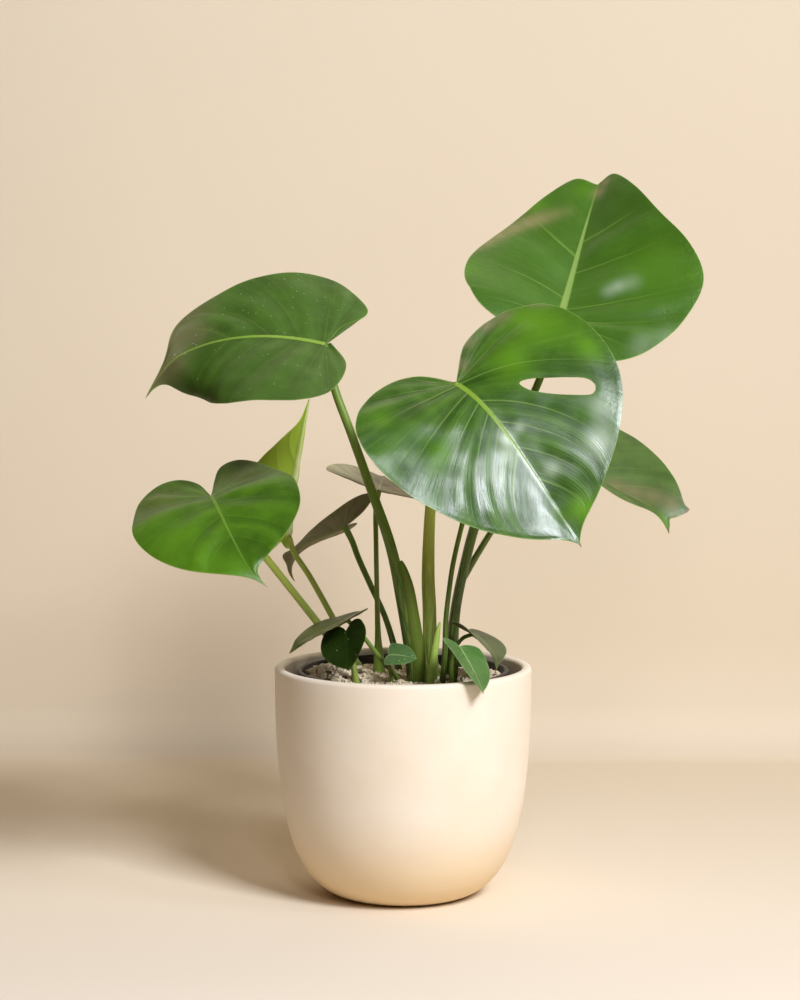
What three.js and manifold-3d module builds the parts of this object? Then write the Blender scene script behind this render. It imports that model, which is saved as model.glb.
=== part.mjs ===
// Potted swiss cheese plant: a cream planter with a black growing pot standing in it,
// soil with a topping of pale pumice, and one crown of leaves on long stalks.
// Millimetres, +Z up, origin at the centre of the planter's flat foot, front towards -Y.

import * as THREE from 'three';
import { mergeVertices } from 'three/addons/utils/BufferGeometryUtils.js';
import Module from 'manifold-3d';

const wasm = await Module();
wasm.setup();

// Driving dimensions
const GAP = 0.3;
const PLANTER_RIM_R = 82.5;
const PLANTER_H = 147.9;
const PLANTER_FOOT_R = 39.5;
const PLANTER_WALL = 6.5;
const PLANTER_FLOOR_Z = 12;
const FLOOR_R = 52;
const LIP_ROUND = 2.6;
const GROW_BASE_R = 50.5;
const GROW_RIM_R = 66.6;
const GROW_TOP_Z = 145.5;
const GROW_WALL = 1.5;
const GROW_FLOOR = 2;
const ROLL_OUT = 1.6;
const ROLL_H = 4.5;
const DRAIN_HOLES = 6;
const DRAIN_R = 4;
const DRAIN_RING_R = 34;
const SOIL_TOP_Z = 127;
const TOPPING_EDGE_Z = 136.5;
const TOPPING_HEAP = 3.5;
const CHIP_COUNT = 56;
const CHIP_R = 5;
const BLADE_T = 1.0;
const STEM_SIDES = 8;
const ROUND_SIDES = 40;

// Colours read from the photo
const CREAM = { color: 0xe9dcc3, roughness: 0.62 };
const BLACK_PLASTIC = { color: 0x1d1c1e, roughness: 0.5 };
const DARK_SOIL = { color: 0x2e241b, roughness: 0.95 };
const PUMICE = { color: 0xcfc2a8, roughness: 0.95 };
const LEAF_GREEN = { color: 0x4a7a2c, roughness: 0.35 };
const LEAF_DARK = { color: 0x27470f, roughness: 0.4 };
const LEAF_YOUNG = { color: 0x8aa038, roughness: 0.35 };
const LEAF_OLIVE = { color: 0x6d6a4b, roughness: 0.5 };
const STEM_GREEN = { color: 0x557329, roughness: 0.45 };
const SHEATH_GREEN = { color: 0x86a63a, roughness: 0.45 };

const group = new THREE.Group();

function addPiece(name, geometry, look) {
  const material = new THREE.MeshStandardMaterial({ metalness: 0, ...look });
  const mesh = new THREE.Mesh(geometry, material);
  mesh.name = name;
  group.add(mesh);
}

// Closed geometry into a solid for joining and cutting, and back
function toSolid(geometry) {
  const bare = geometry.clone();
  bare.deleteAttribute('normal');
  bare.deleteAttribute('uv');
  const welded = mergeVertices(bare, 1e-4);
  const corners = dropFlat(welded);
  return new wasm.Manifold(new wasm.Mesh({
    numProp: 3,
    vertProperties: Float32Array.from(welded.attributes.position.array),
    triVerts: Uint32Array.from(corners),
  }));
}

function dropFlat(geometry) {
  const index = geometry.index.array;
  const kept = [];
  for (let i = 0; i < index.length; i += 3) {
    const [a, b, c] = [index[i], index[i + 1], index[i + 2]];
    if (a !== b && b !== c && c !== a) kept.push(a, b, c);
  }
  return kept;
}

function toGeometry(solid) {
  const mesh = solid.getMesh();
  const geometry = new THREE.BufferGeometry();
  geometry.setAttribute('position', new THREE.BufferAttribute(Float32Array.from(mesh.vertProperties), 3));
  geometry.setIndex(new THREE.BufferAttribute(Uint32Array.from(mesh.triVerts), 1));
  geometry.computeVertexNormals();
  return geometry;
}

function lathe(profile, sides = ROUND_SIDES) {
  const points = profile.map(([r, z]) => new THREE.Vector2(r, z));
  const geometry = new THREE.LatheGeometry(points, sides);
  geometry.rotateX(Math.PI / 2);
  return geometry;
}

function seededRandom(seed) {
  let state = seed;
  return () => {
    state = (state * 1664525 + 1013904223) % 4294967296;
    return state / 4294967296;
  };
}

// Planter: round-bottomed cup with an even wall and a softly rounded lip
const cupSide = new THREE.CubicBezierCurve(
  new THREE.Vector2(PLANTER_FOOT_R, 0),
  new THREE.Vector2(76.2, 7.5),
  new THREE.Vector2(82.4, 66.1),
  new THREE.Vector2(PLANTER_RIM_R, PLANTER_H - LIP_ROUND),
);
const lipInnerR = PLANTER_RIM_R - PLANTER_WALL;
const planterProfile = [[0, 0]];
for (const p of cupSide.getPoints(10)) planterProfile.push([p.x, p.y]);
planterProfile.push([PLANTER_RIM_R - LIP_ROUND * 0.3, PLANTER_H - LIP_ROUND * 0.3]);
planterProfile.push([PLANTER_RIM_R - LIP_ROUND, PLANTER_H]);
planterProfile.push([lipInnerR + LIP_ROUND, PLANTER_H]);
planterProfile.push([lipInnerR + LIP_ROUND * 0.3, PLANTER_H - LIP_ROUND * 0.3]);
planterProfile.push([lipInnerR, PLANTER_H - LIP_ROUND]);
planterProfile.push([lipInnerR, 70]);
planterProfile.push([lipInnerR - 3, 42]);
planterProfile.push([lipInnerR - 9, 24]);
planterProfile.push([FLOOR_R + 6, 14.5]);
planterProfile.push([FLOOR_R, PLANTER_FLOOR_Z]);
planterProfile.push([0, PLANTER_FLOOR_Z]);
addPiece('planter', lathe(planterProfile), CREAM);

// Growing pot: thin tapered tub with a rolled edge and drain holes in its floor
const growFootZ = PLANTER_FLOOR_Z + GAP;
function growOuterR(z) {
  return GROW_BASE_R + (GROW_RIM_R - GROW_BASE_R) * (z - growFootZ) / (GROW_TOP_Z - growFootZ);
}
function growInnerR(z) {
  return growOuterR(z) - GROW_WALL;
}
const growFloorZ = growFootZ + GROW_FLOOR;
const growTub = toSolid(lathe([
  [0, growFootZ],
  [GROW_BASE_R, growFootZ],
  [growOuterR(GROW_TOP_Z - ROLL_H), GROW_TOP_Z - ROLL_H],
  [GROW_RIM_R + ROLL_OUT, GROW_TOP_Z - ROLL_H + 1],
  [GROW_RIM_R + ROLL_OUT, GROW_TOP_Z - 1],
  [GROW_RIM_R, GROW_TOP_Z],
  [growInnerR(GROW_TOP_Z), GROW_TOP_Z],
  [growInnerR(growFloorZ), growFloorZ],
  [0, growFloorZ],
], 36));
const drains = [];
for (let i = 0; i < DRAIN_HOLES; i += 1) {
  const angle = (i / DRAIN_HOLES) * Math.PI * 2;
  const drill = new THREE.CylinderGeometry(DRAIN_R, DRAIN_R, 3 * GROW_FLOOR, 10);
  drill.rotateX(Math.PI / 2);
  drill.translate(DRAIN_RING_R * Math.cos(angle), DRAIN_RING_R * Math.sin(angle), growFootZ + GROW_FLOOR / 2);
  drains.push(toSolid(drill));
}
addPiece('growing_pot', toGeometry(growTub.subtract(wasm.Manifold.union(drains))), BLACK_PLASTIC);

// A blade is drawn flat, x across and y along the midrib, and then laid on a bent surface.
// The outline runs from the notch at the stalk round one lobe to the tip.
const HEART = [
  [0.11, -0.14], [0.32, -0.245], [0.57, -0.26], [0.83, -0.17], [0.98, 0.03],
  [1, 0.233], [0.89, 0.447], [0.65, 0.65], [0.35, 0.825], [0.11, 0.932],
];

function heartSide(halfWidth, length, lobe) {
  return HEART.map(([x, y]) => [x * halfWidth, (y < 0 ? y * lobe : y) * length]);
}

function flatCurve(points, length, side) {
  const all = [[0, 0], ...points, [0, length]];
  const path = all.map(([x, y]) => new THREE.Vector3(side * x, y, 0));
  return new THREE.CatmullRomCurve3(path, false, 'catmullrom', 0.5);
}

// Posture of a blade: the bent midrib, the way its upper face looks at the notch and at the tip,
// how far each half folds up and curls down, and how the last fifth droops and turns
class Posture {
  constructor(shape) {
    const [a, b, c, d] = shape.midrib.map((p) => new THREE.Vector3(...p));
    this.curve = new THREE.CubicBezierCurve3(a, b, c, d);
    this.length = this.curve.getLength();
    this.faceBase = new THREE.Vector3(...shape.faceBase).normalize();
    this.faceTip = new THREE.Vector3(...shape.faceTip).normalize();
    this.fold = shape.fold;
    this.curl = shape.curl;
    this.lobeBend = shape.lobeBend ?? 0;
    this.droop = shape.droop ?? 0;
    this.turn = shape.turn ?? 0;
    this.shift = shape.shift ?? 0;
  }

  at(x, y) {
    const u = THREE.MathUtils.clamp(y / this.length, 0, 1);
    const along = this.curve.getTangentAt(u);
    const up = this.faceBase.clone().lerp(this.faceTip, u);
    up.addScaledVector(along, -up.dot(along)).normalize();
    const point = this.curve.getPointAt(u);
    const across = along.clone().cross(up);
    const late = Math.min(Math.max((y / this.length - 0.78) / 0.22, 0), 1.2) ** 2;
    point.addScaledVector(up, -late * this.droop).addScaledVector(across, late * this.turn);
    point.addScaledVector(along, Math.max(y - this.length, 0));
    const behind = Math.max(-y, 0);
    const bend = this.lobeBend * behind;
    const k = Math.abs(this.lobeBend) > 1e-9 ? this.lobeBend : 1e-9;
    point.addScaledVector(along, -Math.sin(k * behind) / k);
    point.addScaledVector(up, -(1 - Math.cos(k * behind)) / k);
    const face = up.clone().multiplyScalar(Math.cos(bend)).addScaledVector(along, -Math.sin(bend));
    const half = x < 0 ? 0 : 1;
    const f = this.fold[half];
    const c = Math.abs(this.curl[half]) > 1e-7 ? this.curl[half] : 1e-7;
    const d = Math.abs(x);
    const out = (Math.sin(f) - Math.sin(f - c * d)) / c;
    const lift = (Math.cos(f - c * d) - Math.cos(f)) / c;
    point.addScaledVector(across, Math.sign(x) * out).addScaledVector(face, lift);
    point.y += this.shift;
    return point;
  }
}

// Solid blade: one grid of rows from left edge over the midrib to right edge, top and bottom
// split alike, closed by a narrow band round the edge
const FAN_END = 0.325;

function tidy(value) {
  return Math.round(value * 1e4) / 1e4;
}

// End of a row on one edge of the blade, moved outwards by grow
function edgePoint(path, t, side, grow) {
  const end = path.getPoint(t);
  const along = path.getTangent(t);
  const outward = new THREE.Vector3(side * along.y, -side * along.x, 0);
  if (t === 0) outward.set(0, -1, 0);
  if (t === 1) outward.set(0, 1, 0);
  return end.addScaledVector(outward, grow);
}

function bladePoints(shape, rows, halfCells, grow) {
  const posture = new Posture(shape);
  const length = posture.length;
  const left = flatCurve(shape.left ?? heartSide(shape.halfWidth, length, shape.lobe), length, -1);
  const right = flatCurve(shape.right ?? heartSide(shape.halfWidth, length, shape.lobe), length, 1);
  const flat = [];
  for (let i = 0; i <= rows; i += 1) {
    const t = i / rows;
    const fan = Math.max(0, (t - FAN_END) / (1 - FAN_END)) ** 1.1;
    const start = length * fan + (t === 0 ? -grow : grow * fan);
    const ends = [edgePoint(left, t, -1, grow), edgePoint(right, t, 1, grow)];
    const row = [];
    for (let j = -halfCells; j <= halfCells; j += 1) {
      const q = Math.abs(j) / halfCells;
      const end = ends[j < 0 ? 0 : 1];
      row.push([tidy(end.x * q), tidy(start + (end.y - start) * q)]);
    }
    flat.push(row);
  }
  return { posture, flat };
}

function faceNormal(posture, x, y) {
  const sideways = posture.at(x + (x < 0 ? 0 : 0.5), y).sub(posture.at(x - (x > 0 ? 0 : 0.5), y));
  const onward = posture.at(x, y + 0.5).sub(posture.at(x, y - 0.5));
  return sideways.cross(onward).normalize();
}

function bladeSolid(shape, rows, halfCells, thickness, grow = 0) {
  const { posture, flat } = bladePoints(shape, rows, halfCells, grow);
  const across = 2 * halfCells + 1;
  const sheets = [1, -1].map((side) => flat.map((row) => row.map(([x, y]) => {
    const here = posture.at(x, y);
    return here.addScaledVector(faceNormal(posture, x, y), side * thickness / 2);
  })));
  const corners = sheets.flatMap((sheet) => sheet.flatMap((row) => row.flatMap((p) => [p.x, p.y, p.z])));
  const id = (sheet, i, j) => sheet * (rows + 1) * across + i * across + j;
  const leftHalves = [[0, 0, 1, 0, 1, 1], [0, 0, 1, 1, 0, 1]];
  const rightHalves = [[0, 0, 1, 0, 0, 1], [1, 0, 1, 1, 0, 1]];
  const index = [];
  for (let i = 0; i < rows; i += 1) {
    for (let j = 0; j < across - 1; j += 1) {
      for (const [a, b, c, d, e, f] of j < halfCells ? leftHalves : rightHalves) {
        index.push(id(0, i + a, j + b), id(0, i + e, j + f), id(0, i + c, j + d));
        index.push(id(1, i + a, j + b), id(1, i + c, j + d), id(1, i + e, j + f));
      }
    }
    for (const j of [0, across - 1]) {
      const quad = [id(0, i, j), id(0, i + 1, j), id(1, i + 1, j), id(1, i, j)];
      const order = j === 0 ? [0, 1, 2, 0, 2, 3] : [0, 2, 1, 0, 3, 2];
      for (const k of order) index.push(quad[k]);
    }
  }
  const geometry = new THREE.BufferGeometry();
  geometry.setAttribute('position', new THREE.BufferAttribute(Float32Array.from(corners), 3));
  geometry.setIndex(index);
  return toSolid(geometry);
}

// Slot through a blade: its flat outline pushed through along the face
function slotCutter(shape, outline) {
  const posture = new Posture(shape);
  const drawn = new THREE.Shape();
  const rounded = new THREE.SplineCurve([...outline, outline[0]].map(([x, y]) => new THREE.Vector2(x, y)));
  drawn.setFromPoints(rounded.getPoints(20).slice(0, -1));
  const geometry = new THREE.ExtrudeGeometry(drawn, { depth: 8, bevelEnabled: false });
  const spot = geometry.attributes.position;
  for (let i = 0; i < spot.count; i += 1) {
    const [x, y, z] = [spot.getX(i), spot.getY(i), spot.getZ(i)];
    const laid = posture.at(x, y).addScaledVector(faceNormal(posture, x, y), z - 4);
    spot.setXYZ(i, laid.x, laid.y, laid.z);
  }
  return toSolid(geometry);
}

// Stalk: a tapering round rod along a smooth curve, points as [x, y, z, radius] from the foot up
function stalkSolid(points, grow = 0) {
  const path = new THREE.CatmullRomCurve3(points.map(([x, y, z]) => new THREE.Vector3(x, y, z)));
  const rings = 2 * (points.length - 1);
  const frames = path.computeFrenetFrames(rings, false);
  const corners = [];
  for (let i = 0; i <= rings; i += 1) {
    const along = (path.getUtoTmapping(i / rings)) * (points.length - 1);
    const k = Math.min(Math.floor(along), points.length - 2);
    const radius = points[k][3] + (points[k + 1][3] - points[k][3]) * (along - k) + grow;
    const centre = path.getPointAt(i / rings);
    if (grow > 0 && i === rings) centre.addScaledVector(frames.tangents[i], grow);
    for (let j = 0; j < STEM_SIDES; j += 1) {
      const angle = (j / STEM_SIDES) * Math.PI * 2;
      const p = centre.clone();
      p.addScaledVector(frames.normals[i], radius * Math.cos(angle));
      p.addScaledVector(frames.binormals[i], radius * Math.sin(angle));
      corners.push(p.x, p.y, p.z);
    }
  }
  const foot = path.getPointAt(0);
  const head = path.getPointAt(1);
  if (grow > 0) head.addScaledVector(frames.tangents[rings], grow);
  corners.push(foot.x, foot.y, foot.z, head.x, head.y, head.z);
  const index = [];
  for (let j = 0; j < STEM_SIDES; j += 1) {
    const next = (j + 1) % STEM_SIDES;
    for (let i = 0; i < rings; i += 1) {
      const [a, b] = [i * STEM_SIDES + j, i * STEM_SIDES + next];
      index.push(a, b, b + STEM_SIDES, a, b + STEM_SIDES, a + STEM_SIDES);
    }
    const last = rings * STEM_SIDES;
    index.push((rings + 1) * STEM_SIDES, next, j);
    index.push((rings + 1) * STEM_SIDES + 1, last + j, last + next);
  }
  const geometry = new THREE.BufferGeometry();
  geometry.setAttribute('position', new THREE.BufferAttribute(Float32Array.from(corners), 3));
  geometry.setIndex(index);
  const solid = toSolid(geometry);
  return solid.volume() > 0 ? solid : toSolid(flipped(geometry));
}

function flipped(geometry) {
  const index = geometry.index.array;
  for (let i = 0; i < index.length; i += 3) [index[i], index[i + 1]] = [index[i + 1], index[i]];
  return geometry;
}

function largestPart(solid) {
  return solid.decompose().sort((a, b) => b.volume() - a.volume())[0];
}

// Leaves from the top of the crown down. Each has its posture, its outline (or the common heart
// by half width and lobe depth) and its stalk from the foot in the soil to the notch.
const LEAVES = [
  {
    name: 'top_right', look: LEAF_GREEN, rows: 17, halfCells: 5,
    midrib: [[101, 25, 369], [109, 48, 389], [117, 77, 417], [132, 107, 459]],
    faceBase: [0.25, -0.68, 0.69], faceTip: [-0.3, -0.72, 0.63],
    fold: [0.18, 0.42], curl: [0.0058, 0.0014], lobeBend: 0.01,
    left: [[6, -11], [20, -20], [37, -20], [55, -10], [67, 10], [69, 34], [62, 60], [47, 87], [31, 113], [17, 129]],
    right: [[7, -15], [23, -25], [44, -26], [65, -14], [81, 10], [89, 37], [78, 63], [56, 89], [33, 116], [12, 132]],
    stalk: [
      [26.5, -4, 96, 4.4], [27.5, -4, 132.4, 4.4], [30.7, -4, 158.3, 4], [33.9, -4, 187.4, 3.4],
      [38.9, -4, 211.8, 3.3], [45.9, -3, 238.7, 3.3], [61.9, 1, 280.1, 3], [85.2, 10, 325.7, 2.5],
      [97.1, 19, 356.2, 2.3], [101.3, 25, 368.3, 2.2],
    ],
  },
  {
    name: 'front', look: LEAF_GREEN, rows: 18, halfCells: 5,
    midrib: [[33, -35, 330], [54, -52, 319], [69, -61, 293], [109, -75, 232]],
    faceBase: [0.02, -0.53, 0.85], faceTip: [0.22, -0.91, 0.34],
    fold: [0.34, 0.21], curl: [0.0007, 0.0047], lobeBend: -0.0107,
    left: [[11, -8], [27, -18], [49, -20], [71, -13], [85, 5], [87, 32], [79, 59], [58, 85], [31, 107], [10, 121]],
    right: [[10, -17], [27, -25], [49, -25], [72, -16], [87, 2], [87, 30], [77, 58], [57, 86], [30, 109], [9, 123]],
    slot: [[-27, 27], [-34, 28.5], [-48, 37], [-60, 45], [-63.5, 50], [-63, 54], [-58, 56], [-47, 49.5], [-36, 41], [-29, 34]],
    stalk: [
      [19.7, -14, 96, 4.6], [19.1, -14, 134, 4.6], [17.1, -14, 163, 4.6], [16.5, -13, 187.9, 4.5],
      [15.8, -12, 207.6, 4.3], [17.4, -9, 252.1, 3.5], [21.5, -9, 284, 3.1], [27.7, -17, 311.7, 2.9],
      [32.4, -30, 326.1, 2.6], [33.5, -34, 329.4, 2.4],
    ],
  },
  {
    name: 'top_left', look: LEAF_GREEN, rows: 17, halfCells: 5,
    midrib: [[-49, -10, 354], [-108, -5, 368], [-148, 8, 349], [-160, -12, 332]],
    faceBase: [0.13, -0.62, 0.78], faceTip: [0.44, -0.71, 0.55],
    fold: [0.15, 0.05], curl: [0.001, 0.0024], lobeBend: -0.004, droop: 19, turn: -4.5,
    left: [[1, -7], [17, -17], [37, -18], [55, -12], [66, 5], [67, 31], [62, 59], [46, 86], [25, 109], [4, 115]],
    right: [[20, -6], [32, -16], [43, -18], [55, -9], [66, 7], [66, 28], [56, 49], [38, 70], [20, 91], [7, 102]],
    stalk: [
      [8.2, -23.7, 96, 4.7], [7.5, -24, 135.6, 4.7], [5, -25, 161.4, 4.5], [-0.7, -25, 193.3, 3.9],
      [-7.7, -23, 226.7, 3.5], [-21.6, -20, 267, 3], [-33.6, -17, 300.3, 2.8], [-42.4, -14, 323.6, 2.7],
      [-46.9, -11, 340.5, 2.4], [-49.1, -10, 353.1, 2.2],
    ],
  },
  {
    name: 'right', look: LEAF_GREEN, rows: 19, halfCells: 4,
    midrib: [[92, 20, 284], [123, 21, 268], [151, 16, 253], [175, 0, 242]],
    faceBase: [0.44, -0.3, 0.85], faceTip: [0.1, -0.47, 0.88],
    fold: [0.39, 0.48], curl: [0.0034, 0.0025], droop: 8, turn: 6.5,
    left: [
      [6, -13], [18, -24], [32, -25], [47, -16], [56, 3], [57, 23], [53, 44], [41, 64],
      [30, 78], [24, 87], [22, 92], [24, 96], [17.5, 95], [11, 93], [6, 91], [4, 93],
    ],
    right: [[6, -13], [18, -24], [32, -25], [47, -16], [56, 3], [57, 22], [51, 43], [38, 61], [20, 76], [6, 84]],
    stalk: [
      [31, 8, 96, 2.6], [31.6, 8, 130.4, 2.6], [33.5, 8, 163, 2.4], [36, 8, 196.2, 2.2],
      [43.1, 8, 210.5, 2.1], [56.6, 9, 233, 2], [72.1, 12, 256.7, 1.9], [85.2, 17, 275.7, 1.8],
      [91.1, 20, 282.6, 1.7],
    ],
  },
  {
    name: 'lower_left', look: LEAF_GREEN, rows: 16, halfCells: 4,
    midrib: [[-121, -25, 259], [-115, -45, 255], [-105, -66, 233], [-88, -93, 212]],
    faceBase: [-0.2, -0.25, 0.95], faceTip: [-0.07, -0.65, 0.75],
    fold: [0.06, 0.02], curl: [0.0011, 0.0038], lobeBend: -0.0127, droop: 7, turn: -6,
    left: [[7, -19], [15, -31], [28, -32], [41, -20], [51, 3], [52, 21], [47, 40], [34, 57], [17, 71], [3, 79]],
    right: [[3, -21], [14, -32], [29, -32], [44, -21], [53, 3], [55, 21], [49, 40], [36, 58], [19, 73], [7, 83]],
    stalk: [
      [-18.1, -6.6, 96, 2.9], [-22.5, -6, 131.4, 2.9], [-37.3, -4, 153.1, 2.8], [-52, -3, 172.4, 2.7],
      [-66, -4, 190.6, 2.6], [-86.2, -8, 216.8, 2.5], [-103.5, -15, 239.3, 2.3], [-115.6, -22, 253.3, 2.1],
      [-120.4, -25, 258.6, 2],
    ],
  },
  {
    name: 'unrolling', look: LEAF_YOUNG, rows: 15, halfCells: 5, shift: 24,
    midrib: [[-74, 0, 230], [-71, 3, 259], [-67, 4, 289], [-61, 3, 318]],
    faceBase: [0.1, 1, -0.1], faceTip: [0.05, 1, 0],
    fold: [1.3, 0.15], curl: [-0.06, -0.022],
    left: [[3, -3], [10, -9], [18, -8], [24, 0], [26, 14], [25, 30], [20, 46], [13, 60], [6, 72], [2, 81]],
    right: [
      [4.6, -4.6], [16, -15], [27, -11], [37, 5], [43, 24], [40, 36],
      [28.4, 46.6], [19.9, 54], [12.2, 62.4], [5.7, 70.3], [3, 75.5], [1.6, 81],
    ],
    stalk: [
      [-14.5, 9.4, 96, 2.2], [-18.8, 10, 130.1, 2.2], [-33.1, 12, 152.7, 2.1], [-44.8, 15, 175.1, 2],
      [-60.4, 19, 202.7, 1.9], [-71.5, 22, 219.8, 1.8], [-74, 23.6, 228, 1.7],
    ],
  },
  {
    name: 'inner_left', look: LEAF_OLIVE, rows: 16, halfCells: 3,
    midrib: [[-38.4, 55, 231.8], [-57.6, 55, 223], [-84, 55, 217], [-71.5, 53, 195.5]],
    faceBase: [0, 1, 0], faceTip: [0, 1, 0],
    fold: [0.98, 1.36], curl: [0.002, 0.0002],
    left: [
      [1.5, -4], [5.8, -13], [12.6, -21], [17.6, -24.5], [22, -23], [24, -18], [23.5, -10],
      [20, 1], [16.5, 11], [11, 23], [6.5, 32], [7, 38], [11.5, 42.5], [4.5, 46], [2.4, 51],
    ],
    right: [[2, -5], [7, -8], [14, -5], [19, 2], [21, 10], [20, 18], [17, 26], [13, 34], [8, 43], [3, 50]],
    stalk: [
      [-1.4, 15.4, 96, 2.6], [-2, 16, 129.1, 2.6], [-4, 18, 148.5, 2.2], [-11.1, 25, 173.7, 1.8],
      [-21.7, 35, 196.2, 1.9], [-29.7, 45, 212.9, 2], [-33.5, 50, 222.6, 2], [-38, 54.2, 231.2, 1.9],
    ],
  },
  {
    name: 'inner_back', look: LEAF_OLIVE, rows: 12, halfCells: 3,
    midrib: [[-16, 32, 258], [-16, 51, 257], [-15, 70, 259], [-13, 89, 263]],
    faceBase: [0.26, 0.05, 0.96], faceTip: [0.44, -0.23, 0.87],
    fold: [0.16, 0.12], curl: [0.0022, 0.0033], halfWidth: 37, lobe: 0.96,
    stalk: [
      [-15.5, 0, 96, 4], [-15.5, 0, 131.7, 4], [-15.5, 0, 148, 3.6], [-16.2, 2, 166.5, 2],
      [-16.8, 7, 189.2, 1.6], [-17.5, 18, 225, 1.6], [-17.6, 27, 247.6, 1.6], [-15.7, 32, 257.6, 1.5],
    ],
  },
  {
    name: 'small_left', look: LEAF_OLIVE, rows: 9, halfCells: 2, shift: 4,
    midrib: [[-35, -28, 181], [-48, -33, 176], [-60, -37, 170], [-70, -44, 165]],
    faceBase: [-0.39, 0.01, 0.92], faceTip: [-0.33, -0.25, 0.91],
    fold: [0.22, 0.13], curl: [0.004, 0.0034], droop: 5, turn: 5.5, halfWidth: 21, lobe: 1.06,
    stalk: [
      [2, -17.1, 96, 1.6], [0.5, -18, 134.7, 1.6], [-4.5, -21, 144.1, 1.6], [-12.1, -23, 152.8, 1.5],
      [-23.5, -25, 167.8, 1.4], [-30.5, -25, 176.1, 1.3], [-34.9, -24, 179.8, 1.2],
    ],
  },
  {
    name: 'small_dark', look: LEAF_DARK, rows: 9, halfCells: 2,
    midrib: [[-36, -30, 174], [-36, -35, 166], [-35, -42, 159], [-34, -50, 152]],
    faceBase: [-0.65, -0.63, 0.42], faceTip: [-0.38, -0.66, 0.65],
    fold: [0.24, 0.22], curl: [0.0034, 0.003], halfWidth: 18, lobe: 0.62,
    stalk: [
      [-28.6, -29.3, 96, 2.4], [-29.2, -29, 136.5, 2.4], [-31.1, -28, 150.3, 1.9],
      [-33.6, -27, 161.7, 1.3], [-35.5, -28, 170.1, 1.1], [-36, -30, 173.6, 1],
    ],
  },
  {
    name: 'small_centre', look: LEAF_GREEN, rows: 8, halfCells: 2,
    midrib: [[-9, -38, 160], [-3, -40, 160.5], [3, -41, 159.5], [9, -43, 158]],
    faceBase: [-0.18, -0.49, 0.85], faceTip: [0.05, -0.62, 0.78],
    fold: [0.15, 0.14], curl: [0.003, 0.003], halfWidth: 10.5, lobe: 0.32,
    stalk: [
      [-6, -29.7, 96, 1.2], [-6.4, -30, 135.3, 1.2], [-7.7, -31, 145.7, 1.1], [-8.9, -34, 153.8, 1],
      [-9.3, -37, 159.4, 0.9],
    ],
  },
  {
    name: 'over_rim', look: LEAF_GREEN, rows: 9, halfCells: 2,
    midrib: [[35, -50, 167], [40, -60, 160], [45, -71, 152], [49, -82, 143]],
    faceBase: [0.67, -0.41, 0.62], faceTip: [0.73, -0.43, 0.53],
    fold: [0.27, 0.13], curl: [0.0027, 0.0036], halfWidth: 19, lobe: 0.27,
    stalk: [
      [32.4, -36.8, 96, 1.4], [32.6, -38, 136.7, 1.4], [33.1, -42, 150, 1.3], [34.2, -47, 160.2, 1.1],
      [35, -50, 165.1, 1],
    ],
  },
  {
    name: 'small_right', look: LEAF_OLIVE, rows: 9, halfCells: 2,
    midrib: [[44, -18, 171], [50, -24, 169], [54, -32, 164], [61, -42, 156]],
    faceBase: [0.3, 0.02, 0.95], faceTip: [0.59, -0.17, 0.79],
    fold: [0.09, 0.32], curl: [0.0035, 0.0033], droop: 8, turn: -3, halfWidth: 20, lobe: 1.08,
    stalk: [
      [30.2, -22.6, 96, 1.6], [30.4, -22, 134, 1.6], [31, -20, 153, 1.4], [33.6, -19, 162.4, 1.3],
      [38, -18, 168, 1.2], [43.7, -18, 170.3, 1.1],
    ],
  },
];

// Sheaths: the rolled edge that runs up the inner side of the top left stalk, a pointed spear
// of a leaf still to open behind the front leaf, and the empty sheath in front of the crown
const STALK_EDGE = [
  [10.2, -23.7, 96, 5.5], [9.8, -24, 135.6, 5.5], [8.4, -25, 161.4, 5.3], [5.2, -25, 185.6, 4.6],
  [2.9, -25, 202.2, 3.6], [-0.6, -24.5, 214.5, 2.3], [-1.8, -24, 218, 1.2],
];
const SPEAR = [
  [23.9, -30.3, 96, 1.9], [24.5, -30, 135.3, 1.9], [26.4, -29, 162, 1.8], [27, -28, 180.9, 1.7],
  [28.9, -26, 198.5, 1.6], [31.5, -24, 216, 1.6], [37.8, -20, 242.9, 1.6], [44.8, -16, 269.9, 2.2],
  [52.5, -12, 293.7, 1.6], [58.8, -10, 311.3, 0.4],
];
const EMPTY_SHEATH = [
  [16.5, -36, 96, 2.6], [16.9, -36, 136.3, 2.6], [18.1, -36, 151.6, 2.6], [20, -36, 164.3, 2.4],
  [21.9, -36, 175.7, 1.5], [23.1, -36, 180.7, 0.5],
];

// Every stalk with its blade: the stalk's head is cut to the blade with a small gap
const wideStalks = [];
for (const leaf of LEAVES) {
  let blade = bladeSolid(leaf, leaf.rows, leaf.halfCells, BLADE_T);
  if (leaf.slot) blade = blade.subtract(slotCutter(leaf, leaf.slot));
  let stalk = stalkSolid(leaf.stalk);
  if (leaf.name === 'top_left') stalk = stalk.add(stalkSolid(STALK_EDGE));
  const room = bladeSolid(leaf, leaf.rows, leaf.halfCells, BLADE_T + 2 * GAP, GAP);
  stalk = largestPart(stalk.subtract(room));
  wideStalks.push(stalkSolid(leaf.stalk, GAP));
  addPiece(`leaf_${leaf.name}`, toGeometry(blade), leaf.look);
  addPiece(`stalk_${leaf.name}`, toGeometry(stalk), STEM_GREEN);
}
wideStalks.push(stalkSolid(STALK_EDGE, GAP));
wideStalks.push(stalkSolid(SPEAR, GAP));
wideStalks.push(stalkSolid(EMPTY_SHEATH, GAP));
addPiece('spear', toGeometry(stalkSolid(SPEAR)), STEM_GREEN);
addPiece('empty_sheath', toGeometry(stalkSolid(EMPTY_SHEATH)), SHEATH_GREEN);

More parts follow.
